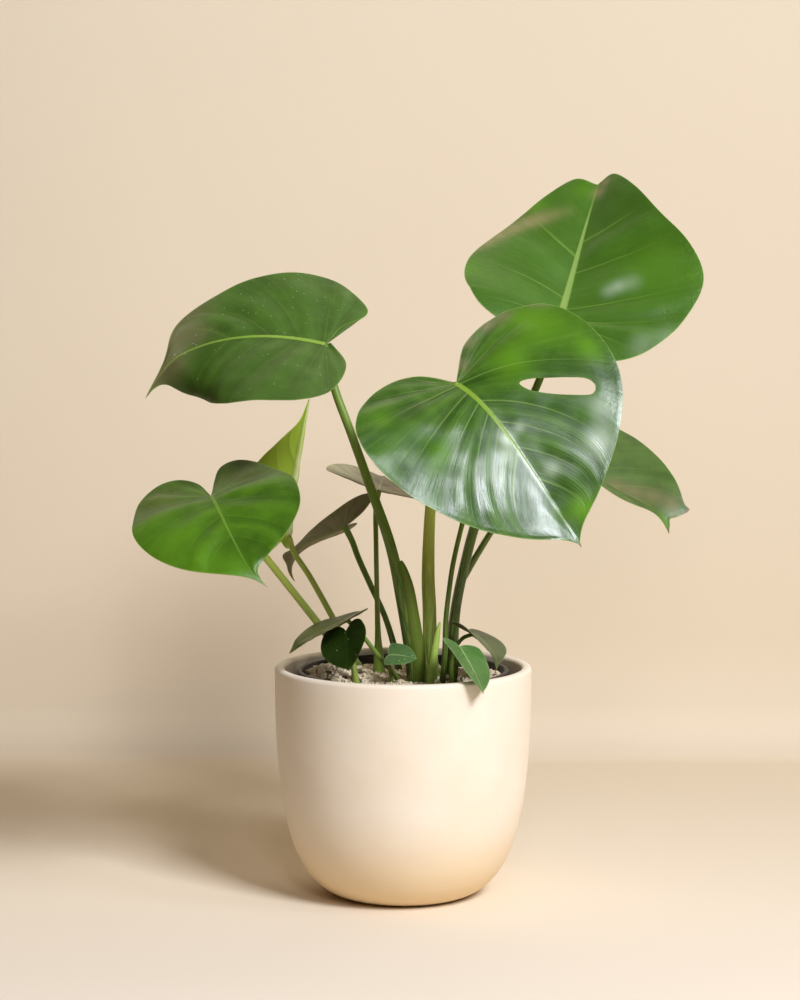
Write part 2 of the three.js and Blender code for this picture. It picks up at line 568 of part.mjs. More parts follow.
// Soil: a plug that fills the growing pot, with a plain hole for each stalk
const stalkHoles = wasm.Manifold.union(wideStalks);
const soilFootZ = growFloorZ + GAP;
const soil = toSolid(lathe([
  [0, soilFootZ],
  [growInnerR(soilFootZ) - GAP, soilFootZ],
  [growInnerR(SOIL_TOP_Z) - GAP, SOIL_TOP_Z],
  [0, SOIL_TOP_Z],
], 36));
addPiece('soil', toGeometry(soil.subtract(stalkHoles)), DARK_SOIL);

// Topping: a low heap of pumice with seeded chips sunk into its upper face
const toppingFootZ = SOIL_TOP_Z + GAP;
function toppingZ(r) {
  const reach = Math.min(r / growInnerR(TOPPING_EDGE_Z), 1);
  return TOPPING_EDGE_Z + TOPPING_HEAP * (1 - reach * reach);
}
const heapProfile = [[0, toppingFootZ], [growInnerR(toppingFootZ) - GAP, toppingFootZ]];
const heapEdgeR = growInnerR(TOPPING_EDGE_Z) - GAP;
for (let i = 0; i <= 4; i += 1) heapProfile.push([heapEdgeR * (1 - i / 4), toppingZ(heapEdgeR * (1 - i / 4))]);
const random = seededRandom(11);
const chips = [];
for (let i = 0; i < CHIP_COUNT; i += 1) {
  const r = (heapEdgeR - CHIP_R * 1.3) * Math.sqrt((i + 0.5) / CHIP_COUNT);
  const angle = i * 2.39996 + 0.3 * random();
  const size = CHIP_R * (0.75 + 0.5 * random());
  const chip = new THREE.OctahedronGeometry(size, 0);
  chip.scale(1, 0.7 + 0.4 * random(), 0.7);
  chip.rotateX(random() * 3);
  chip.rotateZ(random() * 6);
  chip.translate(r * Math.cos(angle), r * Math.sin(angle), toppingZ(r) - 0.25 * size);
  chips.push(toSolid(chip));
}
const heap = wasm.Manifold.union([toSolid(lathe(heapProfile, 36)), ...chips]);
addPiece('topping', toGeometry(largestPart(heap.subtract(stalkHoles))), PUMICE);

export default group;
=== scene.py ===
"""Potted swiss cheese plant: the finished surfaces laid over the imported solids.

Lengths are millimetres in the tables and metres in Blender. The frame is the solids' own:
+Z up, origin at the centre of the planter's foot, front towards -Y.
"""

import math

import bpy
import numpy as np
from mathutils import Euler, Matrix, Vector


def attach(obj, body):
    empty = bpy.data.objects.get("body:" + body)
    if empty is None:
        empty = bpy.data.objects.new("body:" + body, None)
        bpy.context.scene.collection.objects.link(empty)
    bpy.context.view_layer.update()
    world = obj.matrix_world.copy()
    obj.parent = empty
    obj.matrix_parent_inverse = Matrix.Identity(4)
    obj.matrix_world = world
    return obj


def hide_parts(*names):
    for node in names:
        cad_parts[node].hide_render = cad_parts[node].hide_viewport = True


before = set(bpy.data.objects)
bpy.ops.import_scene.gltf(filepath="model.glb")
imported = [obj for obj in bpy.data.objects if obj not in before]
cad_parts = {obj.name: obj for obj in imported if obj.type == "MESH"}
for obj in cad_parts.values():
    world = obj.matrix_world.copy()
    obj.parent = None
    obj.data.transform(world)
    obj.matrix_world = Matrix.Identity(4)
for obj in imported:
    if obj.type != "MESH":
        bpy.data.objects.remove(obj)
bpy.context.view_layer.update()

MM = 0.001
chance = np.random.default_rng(7)

# Planter, growing pot and topping, as the solids have them
PLANTER_RIM_R = 82.5
PLANTER_H = 147.9
PLANTER_FOOT_R = 39.5
PLANTER_WALL = 6.5
PLANTER_FLOOR_Z = 12
LIP_ROUND = 2.6
GROW_BASE_R = 50.5
GROW_RIM_R = 66.6
GROW_FOOT_Z = 12.3
GROW_TOP_Z = 145.5
GROW_WALL = 1.5
GROW_FLOOR = 2
ROLL_OUT = 1.6
ROLL_H = 4.5
TOPPING_FOOT_Z = 127.3
TOPPING_EDGE_Z = 136.5
TOPPING_HEAP = 3.5
TOPPING_GAP = 0.3

# Where the topping is piled higher, near the left edge and, less, near the right: x, y, height and spread
HEAPS = [[-46, -2, 8.5, 520], [50, -4, 5.5, 420]]
HEAP_BASE = 2

# Chips of the topping: how many are laid, their sizes and how common each size is
CHIP_COUNT = 2600
CHIP_FORMS = 9
CHIP_FLATS = 7
CHIP_SIZES = [1.1, 1.5, 2.0, 2.6]
CHIP_SHARES = [0.35, 0.35, 0.22, 0.08]
GOLDEN_ANGLE = 2.39996

# Blades: thickness in the middle and at the edge, and the width over which they thin out
BLADE_T = 0.8
EDGE_T = 0.35
EDGE_THIN_W = 2.5

# Share of the margin whose rows fan out from the notch, and how they crowd along the midrib after it
FAN_END = 0.36
FAN_POWER = 1.1

# Softness of the crease along the midrib, and the share of the length where the tip starts to droop
CREASE = 2.5
DROOP_FROM = 0.78
DROOP_OVER = 0.22

# Midrib and side ribs stand out below, and by a small share of that above
MIDRIB_W = 1.5
MIDRIB_H = 1.5
RIB_W = 0.8
RIB_H = 0.45
ABOVE_SHARE = 0.12

# A panel between two ribs this wide swells by the leaf's whole quilt height
FULL_PANEL_W = 14

# Stalks: the middle of the crown, which their flattened sides face, and the length of the swollen head
CROWN_MIDDLE = [10, -10, 0]
JOINT_H = 7

# Side ribs: where each leaves the midrib, as a share of the margin from notch to tip, and how much
# further along the margin it ends
RIBS = [[0.14, 0], [0.27, 0], [0.37, 0.02], [0.46, 0.14], [0.57, 0.2], [0.7, 0.16]]

# Half of a small leaf's outline, in half widths across and lengths along
HEART = [
    [0.11, -0.14], [0.32, -0.245], [0.57, -0.26], [0.83, -0.17], [0.98, 0.03],
    [1, 0.233], [0.89, 0.447], [0.65, 0.65], [0.35, 0.825], [0.11, 0.932],
]

SMALL_BLADE = {"grid": (60, 20), "quilt": (0.3, 0.3), "lumps": 0.06, "midrib_w": 0.6}
OLIVE_BLADE = {"grid": (96, 30), "quilt": (0.4, 0.4), "lumps": 0.1, "midrib_w": 0.8}

# Each leaf. grid: mesh rows and columns. quilt: swell of the panels, left and right. wave: waves along the
# margin and their height. lumps: height of the slow lumps. midrib_w: the midrib's half width at the notch.
# left_ribs, right_ribs: as RIBS. olive_painted_light, painted_glow, dull, painted_sheen: soft patches on the
# flat blade, each
# x, y, radius and share: an olive painted sheen (painted shade on the right and unrolling leaves), a painted
# glow of light, lower shine, and a painted grey sheen. midrib: its curve. face: where the blade faces at
# notch and tip.
# fold, curl: of its left and right half. lobe_bend: of the lobes. droop, turn: of the tip. shift: of the
# blade, backwards.
# left, right: half outlines, x across and y along. half_width, lobe: the same from HEART. slot: outline of
# the hole. stalk: x, y, z and radius.
LEAVES = {
    "top_right": {
        "grid": (160, 50), "quilt": (0.6, 1.5), "wave": (3, 0.8), "lumps": 0.16, "midrib_w": 2.8,
        "left_ribs": [[0.14, 0], [0.3, 0], [0.48, 0.02], [0.68, 0.07]],
        "right_ribs": [[0.15, 0], [0.25, 0.02], [0.34, 0.05], [0.424, 0.07], [0.61, 0.03], [0.75, 0.03]],
        "olive_painted_light": [[-68, 52, 6, 0.6], [-62, 61, 6.5, 0.8], [-55, 69, 6.5, 0.8], [-47, 77, 6.5, 0.8],
            [-39, 84, 6.5, 0.75], [-31, 89, 6.5, 0.6], [-23, 94, 6, 0.4], [-15, 99, 5, 0.2],
            [3, 118, 5, 0.8], [6, 126, 4, 0.8]],
        "painted_glow": [[58, 46, 24, 0.35], [-38, 101, 8, 0.6], [-58, 82, 7, 0.6], [-71, 24, 11, 0.5],
            [-8, 120, 8, 0.4], [84, 40, 9, 0.3]],
        "painted_sheen": [[34, 31, 5, 0.35], [28, 27, 5, 0.25], [42, 34, 6, 0.2], [58, -14, 8, 0.2],
            [72, -6, 8, 0.2]],
        "midrib": [[101, 25, 369], [109, 48, 389], [117, 77, 417], [132, 107, 459]],
        "face": [[0.25, -0.68, 0.69], [-0.3, -0.72, 0.63]], "fold": [0.18, 0.42], "curl": [0.0058, 0.0014],
        "lobe_bend": 0.01,
        "left": [[6, -11], [20, -20], [37, -20], [55, -10], [67, 10], [69, 34], [62, 60], [47, 87],
            [31, 113], [17, 129]],
        "right": [[7, -15], [23, -25], [44, -26], [65, -14], [81, 10], [89, 37], [78, 63], [56, 89],
            [33, 116], [12, 132]],
        "stalk": [[26.5, -4, 96, 4.4], [27.5, -4, 132.4, 4.4], [30.7, -4, 158.3, 4],
            [33.9, -4, 187.4, 3.4], [38.9, -4, 211.8, 3.3], [45.9, -3, 238.7, 3.3], [61.9, 1, 280.1, 3],
            [85.2, 10, 325.7, 2.5], [97.1, 19, 356.2, 2.3], [101.3, 25, 368.3, 2.2]],
    },
    "front": {
        "grid": (200, 62), "quilt": (0.7, 1.0), "wave": (3, 1.0), "lumps": 0.3,
        "left_ribs": [[0.12, 0], [0.24, 0], [0.345, 0], [0.37, 0.18], [0.475, 0.3], [0.565, 0.27],
            [0.66, 0.22], [0.77, 0.17]],
        "right_ribs": [[0.13, 0], [0.25, 0], [0.375, 0], [0.425, 0.14], [0.48, 0.19], [0.525, 0.26],
            [0.58, 0.28], [0.67, 0.22]],
        "olive_painted_light": [[-13, -9, 6, 0.8], [-29, -20, 7, 1], [-47, -20, 7, 1], [-59, -16, 7, 0.8],
            [-81, -6, 6, 0.6]],
        "painted_glow": [[-68, 4, 18, 0.9], [-34, 14, 12, 0.8], [-14, 112, 9, 1], [-76, 33, 8, 0.8],
            [62, -4, 9, 0.5], [46, 40, 9, 0.4]],
        "midrib_w": 2.0,
        "dull": [[82, 14, 14, 0.9], [60, 18, 13, 0.7], [50, 34, 12, 0.9], [76, 38, 13, 0.8],
            [51, 48, 8, 0.5], [25, 48, 8, 0.6], [62, 62, 12, 0.6], [26, 94, 12, 0.4], [-25, 39, 6, 0.8],
            [-34, 51, 7, 0.8], [-46, 65, 8, 0.9], [-7, 55, 4, 0.5], [-17, 71, 5, 0.7], [-24, 97, 7, 0.7],
            [-4, 96, 5, 0.8], [-3, 110, 6, 0.9], [-29, -20, 11, 0.7], [-47, -22, 11, 0.7],
            [-13, -8, 7, 0.5]],
        "painted_sheen": [[2, 51, 5, 0.8], [9, 60, 6, 0.5], [23, 68, 7, 0.3], [-9, 49, 3.5, 0.45],
            [-11, 82, 5, 0.45], [-45, 84, 9, 0.55], [-58, 66, 7, 0.35]],
        "midrib": [[33, -35, 330], [54, -52, 319], [69, -61, 293], [109, -75, 232]],
        "face": [[0.02, -0.53, 0.85], [0.22, -0.91, 0.34]], "fold": [0.39, 0.05], "curl": [0.0018, 0.0011],
        "lobe_bend": -0.0107,
        "left": [[11, -8], [27, -18], [49, -20], [71, -13], [85, 5], [87, 32], [79, 59], [58, 85],
            [31, 107], [10, 120], [2.2, 127.5]],
        "right": [[10, -17], [27, -25], [49, -25], [72, -16], [87, 2], [87, 30], [77, 58], [57, 86],
            [30, 109], [9, 122], [2.2, 128]],
        "slot": [[-27, 27], [-34, 28.5], [-48, 37], [-60, 45], [-63.5, 50], [-63, 54], [-58, 56],
            [-47, 49.5], [-36, 41], [-29, 34]],
        "stalk": [[19.7, -14, 96, 4.6], [19.1, -14, 134, 4.6], [17.1, -14, 163, 4.6],
            [16.5, -13, 187.9, 4.5], [15.8, -12, 207.6, 4.3], [17.4, -9, 252.1, 3.5], [21.5, -9, 284, 3.1],
            [27.7, -17, 311.7, 2.9], [32.4, -30, 326.1, 2.6], [33.5, -34, 329.4, 2.4]],
    },
    "top_left": {
        "grid": (160, 50), "quilt": (1.2, 1.7), "wave": (2, 0.8), "lumps": 0.2,
        "olive_painted_light": [[14, 98, 14, 0.8], [30, 88, 14, 0.9], [44, 76, 10, 0.6], [4, 112, 13, 1],
            [-4, 100, 9, 0.5], [10, 82, 9, 0.5]],
        "midrib": [[-49, -10, 354], [-108, -5, 368], [-148, 8, 349], [-160, -12, 332]],
        "face": [[0.13, -0.62, 0.78], [0.44, -0.71, 0.55]], "fold": [0.15, 0.05], "curl": [0.001, 0.0024],
        "lobe_bend": -0.004, "droop": 19, "turn": -4.5,
        "left": [[1, -7], [17, -17], [37, -18], [55, -12], [66, 5], [67, 31], [62, 59], [46, 86],
            [25, 107.5], [7, 113], [1.8, 117]],
        "right": [[20, -6], [32, -16], [43, -18], [55, -9], [66, 7], [66, 28], [56, 49], [38, 70],
            [21, 90], [7, 101.5], [2.2, 110]],
        "stalk": [[8.2, -23.7, 96, 4.7], [7.5, -24, 135.6, 4.7], [5, -25, 161.4, 4.5],
            [-0.7, -25, 193.3, 3.9], [-7.7, -23, 226.7, 3.5], [-21.6, -20, 267, 3],
            [-33.6, -17, 300.3, 2.8], [-42.4, -14, 323.6, 2.7], [-46.9, -11, 340.5, 2.4],
            [-49.1, -10, 353.1, 2.2]],
    },
    "right": {
        "grid": (120, 40), "quilt": (0.5, 0.5), "wave": (2, 0.5), "lumps": 0.1, "midrib_w": 0.9,
        "olive_painted_light": [[-2, 50, 7, 0.8], [-5, 62, 7, 0.8], [-9, 74, 7, 0.8], [-13, 86, 6, 0.8]],
        "painted_glow": [[3, 90, 5, 0.8]],
        "midrib": [[92, 20, 284], [123, 21, 268], [151, 16, 253], [175, 0, 242]],
        "face": [[0.44, -0.3, 0.85], [0.1, -0.47, 0.88]], "fold": [0.39, 0.48], "curl": [0.0034, 0.0025],
        "droop": 8, "turn": 6.5,
        "left": [[6, -13], [18, -24], [32, -25], [47, -16], [56, 3], [57, 23], [53, 44], [41, 64],
            [30, 78], [24, 87], [22, 92], [24, 96], [17.5, 95], [11, 93], [6, 91], [4, 93]],
        "right": [[6, -13], [18, -24], [32, -25], [47, -16], [56, 3], [57, 22], [51, 43], [38, 61],
            [20, 76], [6, 84]],
        "stalk": [[31, 8, 96, 2.6], [31.6, 8, 130.4, 2.6], [33.5, 8, 163, 2.4], [36, 8, 196.2, 2.2],
            [43.1, 8, 210.5, 2.1], [56.6, 9, 233, 2], [72.1, 12, 256.7, 1.9], [85.2, 17, 275.7, 1.8],
            [91.1, 20, 282.6, 1.7]],
    },
    "lower_left": {
        "grid": (120, 40), "quilt": (1.0, 1.2), "wave": (2, 0.6), "lumps": 0.12, "midrib_w": 1.0,
        "painted_glow": [[34, 30, 20, 0.5], [22, 60, 16, 0.6], [8, 74, 10, 0.6]],
        "olive_painted_light": [[30, -16, 16, 0.5], [-16, -14, 12, 0.4], [-30, -20, 12, 0.4]],
        "midrib": [[-121, -25, 259], [-115, -45, 255], [-105, -66, 233], [-88, -93, 212]],
        "face": [[-0.2, -0.25, 0.95], [-0.07, -0.65, 0.75]], "fold": [0.06, 0.02],
        "curl": [0.0011, 0.0038], "lobe_bend": -0.0127, "droop": 7, "turn": -6,
        "left": [[7, -19], [15, -31], [28, -32], [41, -20], [51, 3], [52, 21], [47, 40], [34, 57],
            [17, 69.5], [5, 77], [1.6, 83]],
        "right": [[3, -21], [14, -32], [29, -32], [44, -21], [53, 3], [55, 21], [49, 40], [36, 57],
            [18, 71], [6, 79.5], [1.8, 84.5]],
        "stalk": [[-18.1, -6.6, 96, 2.9], [-22.5, -6, 131.4, 2.9], [-37.3, -4, 153.1, 2.8],
            [-52, -3, 172.4, 2.7], [-66, -4, 190.6, 2.6], [-86.2, -8, 216.8, 2.5],
            [-103.5, -15, 239.3, 2.3], [-115.6, -22, 253.3, 2.1], [-120.4, -25, 258.6, 2]],
    },
    "unrolling": {
        "grid": (100, 36), "quilt": (0.1, 0.1), "lumps": 0.05, "shift": 24, "midrib_w": 3.2,
        "olive_painted_light": [[26, 44, 14, 0.7], [14, 62, 12, 0.6]],
        "midrib": [[-74, 0, 230], [-71, 3, 259], [-67, 4, 289], [-61, 3, 318]],
        "face": [[0.1, 1, -0.1], [0.05, 1, 0]], "fold": [1.3, 0.15], "curl": [-0.06, -0.022],
        "left": [[3, -3], [10, -9], [18, -8], [24, 0], [26, 14], [25, 30], [20, 46], [13, 60], [6, 72],
            [2, 81]],
        "right": [[4.6, -4.6], [16, -15], [27, -11], [37, 5], [43, 24], [40, 36], [28.4, 46.6], [19.9, 54],
            [12.2, 62.4], [5.7, 70.3], [3, 75.5], [1.6, 81]],
        "stalk": [[-14.5, 9.4, 96, 2.2], [-18.8, 10, 130.1, 2.2], [-33.1, 12, 152.7, 2.1],
            [-44.8, 15, 175.1, 2], [-60.4, 19, 202.7, 1.9], [-71.5, 22, 219.8, 1.8],
            [-74, 23.6, 228, 1.7]],
    },
    "inner_left": {
        **OLIVE_BLADE,
        "midrib": [[-38.4, 55, 231.8], [-57.6, 55, 223], [-84, 55, 217], [-71.5, 53, 195.5]],
        "face": [[0, 1, 0], [0, 1, 0]], "fold": [0.98, 1.36], "curl": [0.002, 0.0002],
        "left": [[1.5, -4], [5.8, -13], [12.6, -21], [17.6, -24.5], [22, -23], [24, -18], [23.5, -10],
            [20, 1], [16.5, 11], [11, 23], [6.5, 32], [7, 38], [11.5, 42.5], [4.5, 46], [2.4, 51]],
        "right": [[2, -5], [7, -8], [14, -5], [19, 2], [21, 10], [20, 18], [17, 26], [13, 34], [8, 43],
            [3, 50]],
        "stalk": [[-1.4, 15.4, 96, 2.6], [-2, 16, 129.1, 2.6], [-4, 18, 148.5, 2.2],
            [-11.1, 25, 173.7, 1.8], [-21.7, 35, 196.2, 1.9], [-29.7, 45, 212.9, 2], [-33.5, 50, 222.6, 2],
            [-38, 54.2, 231.2, 1.9]],
    },
    "inner_back": {
        **OLIVE_BLADE, "midrib": [[-16, 32, 258], [-16, 51, 257], [-15, 70, 259], [-13, 89, 263]],
        "face": [[0.26, 0.05, 0.96], [0.44, -0.23, 0.87]], "fold": [0.16, 0.12], "curl": [0.0022, 0.0033],
        "half_width": 37, "lobe": 0.96,
        "stalk": [[-15.5, 0, 96, 4], [-15.5, 0, 131.7, 4], [-15.5, 0, 148, 3.6], [-16.2, 2, 166.5, 2],
            [-16.8, 7, 189.2, 1.6], [-17.5, 18, 225, 1.6], [-17.6, 27, 247.6, 1.6],
            [-15.7, 32, 257.6, 1.5]],
    },
    "small_left": {
        "grid": (60, 20), "quilt": (0.2, 0.2), "lumps": 0.05, "midrib_w": 0.6, "shift": 4,
        "midrib": [[-35, -28, 181], [-48, -33, 176], [-60, -37, 170], [-70, -44, 165]],
        "face": [[-0.39, 0.01, 0.92], [-0.33, -0.25, 0.91]], "fold": [0.22, 0.13], "curl": [0.004, 0.0034],
        "droop": 5, "turn": 5.5, "half_width": 21, "lobe": 1.06,
        "stalk": [[2, -17.1, 96, 1.6], [0.5, -18, 134.7, 1.6], [-4.5, -21, 144.1, 1.6],
            [-12.1, -23, 152.8, 1.5], [-23.5, -25, 167.8, 1.4], [-30.5, -25, 176.1, 1.3],
            [-34.9, -24, 179.8, 1.2]],
    },
    "small_dark": {
        **SMALL_BLADE, "midrib": [[-36, -30, 174], [-36, -35, 166], [-35, -42, 159], [-34, -50, 152]],
        "face": [[-0.65, -0.63, 0.42], [-0.38, -0.66, 0.65]], "fold": [0.24, 0.22],
        "curl": [0.0034, 0.003], "half_width": 18, "lobe": 0.62,
        "stalk": [[-28.6, -29.3, 96, 2.4], [-29.2, -29, 136.5, 2.4], [-31.1, -28, 150.3, 1.9],
            [-33.6, -27, 161.7, 1.3], [-35.5, -28, 170.1, 1.1], [-36, -30, 173.6, 1]],
    },
    "small_centre": {
        "grid": (48, 16), "quilt": (0.2, 0.2), "lumps": 0.05, "midrib_w": 0.4,
        "midrib": [[-9, -38, 160], [-3, -40, 160.5], [3, -41, 159.5], [9, -43, 158]],
        "face": [[-0.18, -0.49, 0.85], [0.05, -0.62, 0.78]], "fold": [0.15, 0.14], "curl": [0.003, 0.003],
        "half_width": 10.5, "lobe": 0.32,
        "stalk": [[-6, -29.7, 96, 1.2], [-6.4, -30, 135.3, 1.2], [-7.7, -31, 145.7, 1.1],
            [-8.9, -34, 153.8, 1], [-9.3, -37, 159.4, 0.9]],
    },
    "over_rim": {
        **SMALL_BLADE, "midrib": [[35, -50, 167], [40, -60, 160], [45, -71, 152], [49, -82, 143]],
        "face": [[0.67, -0.41, 0.62], [0.73, -0.43, 0.53]], "fold": [0.27, 0.13], "curl": [0.0027, 0.0036],
        "half_width": 16.5, "lobe": 0.27,
        "stalk": [[32.4, -36.8, 96, 1.4], [32.6, -38, 136.7, 1.4], [33.1, -42, 150, 1.3],
            [34.2, -47, 160.2, 1.1], [35, -50, 165.1, 1]],
    },
    "small_right": {
        **SMALL_BLADE, "midrib": [[44, -18, 171], [50, -24, 169], [54, -32, 164], [61, -42, 156]],
        "face": [[0.3, 0.02, 0.95], [0.59, -0.17, 0.79]], "fold": [0.09, 0.32], "curl": [0.0035, 0.0033],
        "droop": 8, "turn": -3, "half_width": 20, "lobe": 1.08,
        "stalk": [[30.2, -22.6, 96, 1.6], [30.4, -22, 134, 1.6], [31, -20, 153, 1.4],
            [33.6, -19, 162.4, 1.3], [38, -18, 168, 1.2], [43.7, -18, 170.3, 1.1]],
    },
}

# The rolled edge beside the top left stalk, the spear and the empty sheath
STALK_EDGE = [
    [10.2, -23.7, 96, 5.5], [9.8, -24, 135.6, 5.5], [8.4, -25, 161.4, 5.3], [5.2, -25, 185.6, 4.6],
    [2.9, -25, 202.2, 3.6], [-0.6, -24.5, 214.5, 2.3], [-1.8, -24, 218, 1.2],
]
SPEAR = [
    [23.9, -30.3, 96, 1.9], [24.5, -30, 135.3, 1.9], [26.4, -29, 162, 1.8], [27, -28, 180.9, 1.7],
    [28.9, -26, 198.5, 1.6], [31.5, -24, 216, 1.6], [37.8, -20, 242.9, 1.6], [44.8, -16, 269.9, 2.2],
    [52.5, -12, 293.7, 1.6], [58.8, -10, 311.3, 0.4],
]
EMPTY_SHEATH = [
    [16.5, -36, 96, 2.6], [16.9, -36, 136.3, 2.6], [18.1, -36, 151.6, 2.6], [20, -36, 164.3, 2.4],
    [21.9, -36, 175.7, 1.5], [23.1, -36, 180.7, 0.5],
]

# Small helpers

def linear(hex_colour):
    """sRGB hex to the linear colour that a shader takes"""
    parts = [int(hex_colour[i:i + 2], 16) / 255 for i in (1, 3, 5)]
    return (*[p / 12.92 if p <= 0.04045 else ((p + 0.055) / 1.055) ** 2.4 for p in parts], 1)


def smooth_step(value, low, high):
    s = np.clip((value - low) / (high - low), 0, 1)
    return s * s * (3 - 2 * s)


def bell(distance, width):
    """1 in the middle, fading to 0 beyond about twice the width"""
    return np.exp(-(distance / width) ** 2)


def lengths(vectors):
    return np.linalg.norm(vectors, axis=1)


def unit(vectors):
    return vectors / lengths(vectors)[:, None]


def reached(track):
    """Distance walked along a track of points, from 0 at its start"""
    return np.concatenate([[0], np.cumsum(lengths(np.diff(track, axis=0)))])


def curve_on(first, last, start, end, w):
    """Smooth curve from first to last, leaving along start and arriving along end, at share w"""
    bow = w * w * (3 * (last - first) - 2 * start - end)
    return first + w * start + bow + w ** 3 * (2 * (first - last) + start + end)


def clear_selection():
    bpy.ops.object.select_all(action="DESELECT")


def work_on(piece):
    clear_selection()
    piece.select_set(True)
    bpy.context.view_layer.objects.active = piece


def places(mesh):
    """Where a mesh's corners are"""
    flat = np.empty(3 * len(mesh.vertices))
    mesh.vertices.foreach_get("co", flat)
    return flat.reshape(-1, 3)


def place_all(mesh, points):
    mesh.vertices.foreach_set("co", np.ascontiguousarray(points).ravel())
    mesh.update()


def keep_attribute(mesh, name, values):
    kind = "FLOAT_VECTOR" if values.ndim == 2 else "FLOAT"
    made = mesh.attributes.get(name) or mesh.attributes.new(name, kind, "POINT")
    made.data.foreach_set("vector" if values.ndim == 2 else "value", np.ascontiguousarray(values).ravel())


def read_attribute(mesh, name):
    flat = np.empty(3 * len(mesh.vertices))
    mesh.attributes[name].data.foreach_get("vector", flat)
    return flat.reshape(-1, 3)


def edit(piece, *steps):
    """Runs edit-mode steps on all of a piece"""
    work_on(piece)
    bpy.ops.object.mode_set(mode="EDIT")
    bpy.ops.mesh.select_all(action="SELECT")
    for step in steps:
        step()
    bpy.ops.object.mode_set(mode="OBJECT")


def weld():
    bpy.ops.mesh.remove_doubles(threshold=1e-6)


def face_out():
    bpy.ops.mesh.normals_make_consistent(inside=False)


def flat_grid(name, columns, rows):
    """A square grid of side 1, to be laid in shape"""
    clear_selection()
    bpy.ops.mesh.primitive_grid_add(x_subdivisions=columns, y_subdivisions=rows, size=1, location=(0, 0, 0))
    piece = bpy.context.object
    piece.name = name
    return piece


def finish_piece(piece, material, nodes, angle=50):
    """Smooth shading, material, body and the nodes that the piece stands for"""
    work_on(piece)
    bpy.ops.object.shade_smooth_by_angle(angle=math.radians(angle))
    piece.data.materials.clear()
    piece.data.materials.append(material)
    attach(piece, "root")
    if nodes:
        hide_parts(*nodes)


# Turned pieces

def turned(name, profile, sides):
    """A circle drawn up, out and in ring by ring along the profile, closed at both ends"""
    clear_selection()
    radius, height = profile[0]
    bpy.ops.mesh.primitive_circle_add(vertices=sides, radius=radius * MM, location=(0, 0, height * MM))
    piece = bpy.context.object
    piece.name = name
    bpy.ops.object.transform_apply(location=True, rotation=True, scale=True)
    bpy.ops.object.mode_set(mode="EDIT")
    bpy.ops.mesh.select_all(action="SELECT")
    for next_radius, next_height in profile[1:]:
        lift = (0, 0, (next_height - height) * MM)
        bpy.ops.mesh.extrude_edges_move(TRANSFORM_OT_translate={"value": lift})
        widen = next_radius / radius
        bpy.ops.transform.resize(value=(widen, widen, 1), center_override=(0, 0, next_height * MM))
        radius, height = next_radius, next_height
    bpy.ops.mesh.merge(type="CENTER")
    bpy.ops.mesh.select_all(action="DESELECT")
    bpy.ops.mesh.select_non_manifold()
    bpy.ops.mesh.merge(type="CENTER")
    bpy.ops.mesh.select_all(action="SELECT")
    face_out()
    bpy.ops.object.mode_set(mode="OBJECT")
    return piece


def bezier(points, steps):
    t = np.linspace(0, 1, steps)[:, None]
    a, b, c, d = [np.array(p, float) for p in points]
    return (1 - t) ** 3 * a + 3 * (1 - t) ** 2 * t * b + 3 * (1 - t) * t * t * c + t ** 3 * d


def rounded(centre, radius, start, end, steps=7):
    """Points on an arc from start to end, in degrees"""
    angles = np.radians(np.linspace(start, end, steps))
    return [[centre[0] + radius * math.cos(a), centre[1] + radius * math.sin(a)] for a in angles]


# Blades

class Posture:
    """Where a point of the flat blade lies once the leaf is bent. x is across, y along the midrib."""

    def __init__(self, leaf):
        self.leaf = leaf
        self.midrib = bezier(leaf["midrib"], 401)
        self.reach = reached(self.midrib)
        self.length = self.reach[-1]
        self.tangent = np.gradient(self.midrib, axis=0)
        self.face = [np.array(f) / np.linalg.norm(f) for f in leaf["face"]]

    def along(self, table, u):
        return np.stack([np.interp(u * self.length, self.reach, table[:, k]) for k in range(3)], axis=1)

    def at(self, x, y):
        leaf = self.leaf
        u = np.clip(y / self.length, 0, 1)
        along = unit(self.along(self.tangent, u))
        up = self.face[0] + (self.face[1] - self.face[0]) * u[:, None]
        up = unit(up - along * np.sum(up * along, axis=1)[:, None])
        across = np.cross(along, up)

        # The tip droops and turns, and what lies beyond it runs straight on
        late = np.clip((y / self.length - DROOP_FROM) / DROOP_OVER, 0, 1.2) ** 2
        point = self.along(self.midrib, u)
        point = point - up * (late * leaf.get("droop", 0))[:, None]
        point = point + across * (late * leaf.get("turn", 0))[:, None]
        point = point + along * np.maximum(y - self.length, 0)[:, None]

        # The lobes behind the notch bend on a circle
        bend = leaf.get("lobe_bend", 0) or 1e-9
        behind = bend * np.maximum(-y, 0)
        back, down = np.sin(behind)[:, None], np.cos(behind)[:, None]
        point = point - along * (back / bend) - up * ((1 - down) / bend)
        face = up * down - along * back

        # Each half folds up along the midrib and curls towards the margin
        half = (x >= 0).astype(int)
        fold = np.array(leaf["fold"])[half]
        curl = np.array(leaf["curl"])[half]
        d = np.abs(x)
        soft = np.sqrt(d * d + CREASE * CREASE) - CREASE
        out = (np.sin(fold) - np.sin(fold - curl * d)) / curl
        lift = (np.cos(fold - curl * soft) - np.cos(fold)) / curl
        point = point + across * (np.sign(x) * out)[:, None] + face * lift[:, None]
        point[:, 1] += leaf.get("shift", 0)
        return point

    def normal(self, x, y):
        left = np.where(x > 0, x, x - 0.5)
        right = np.where(x < 0, x, x + 0.5)
        sideways = self.at(right, y) - self.at(left, y)
        onward = self.at(x, y + 0.5) - self.at(x, y - 0.5)
        return unit(np.cross(sideways, onward))


def outline(points, length, side, t):
    """Smooth outline through the points, from the notch to the tip"""
    knots = np.array([[0, 0], *points, [0, length]], float)
    knots[:, 0] *= side
    knots = np.vstack([2 * knots[0] - knots[1], knots, 2 * knots[-1] - knots[-2]])
    spot = np.clip(t, 0, 1) * (len(knots) - 3)
    k = np.minimum(spot.astype(int), len(knots) - 4)
    a, b, c, d = knots[k], knots[k + 1], knots[k + 2], knots[k + 3]
    return curve_on(b, c, (c - a) / 2, (d - b) / 2, (spot - k)[:, None])


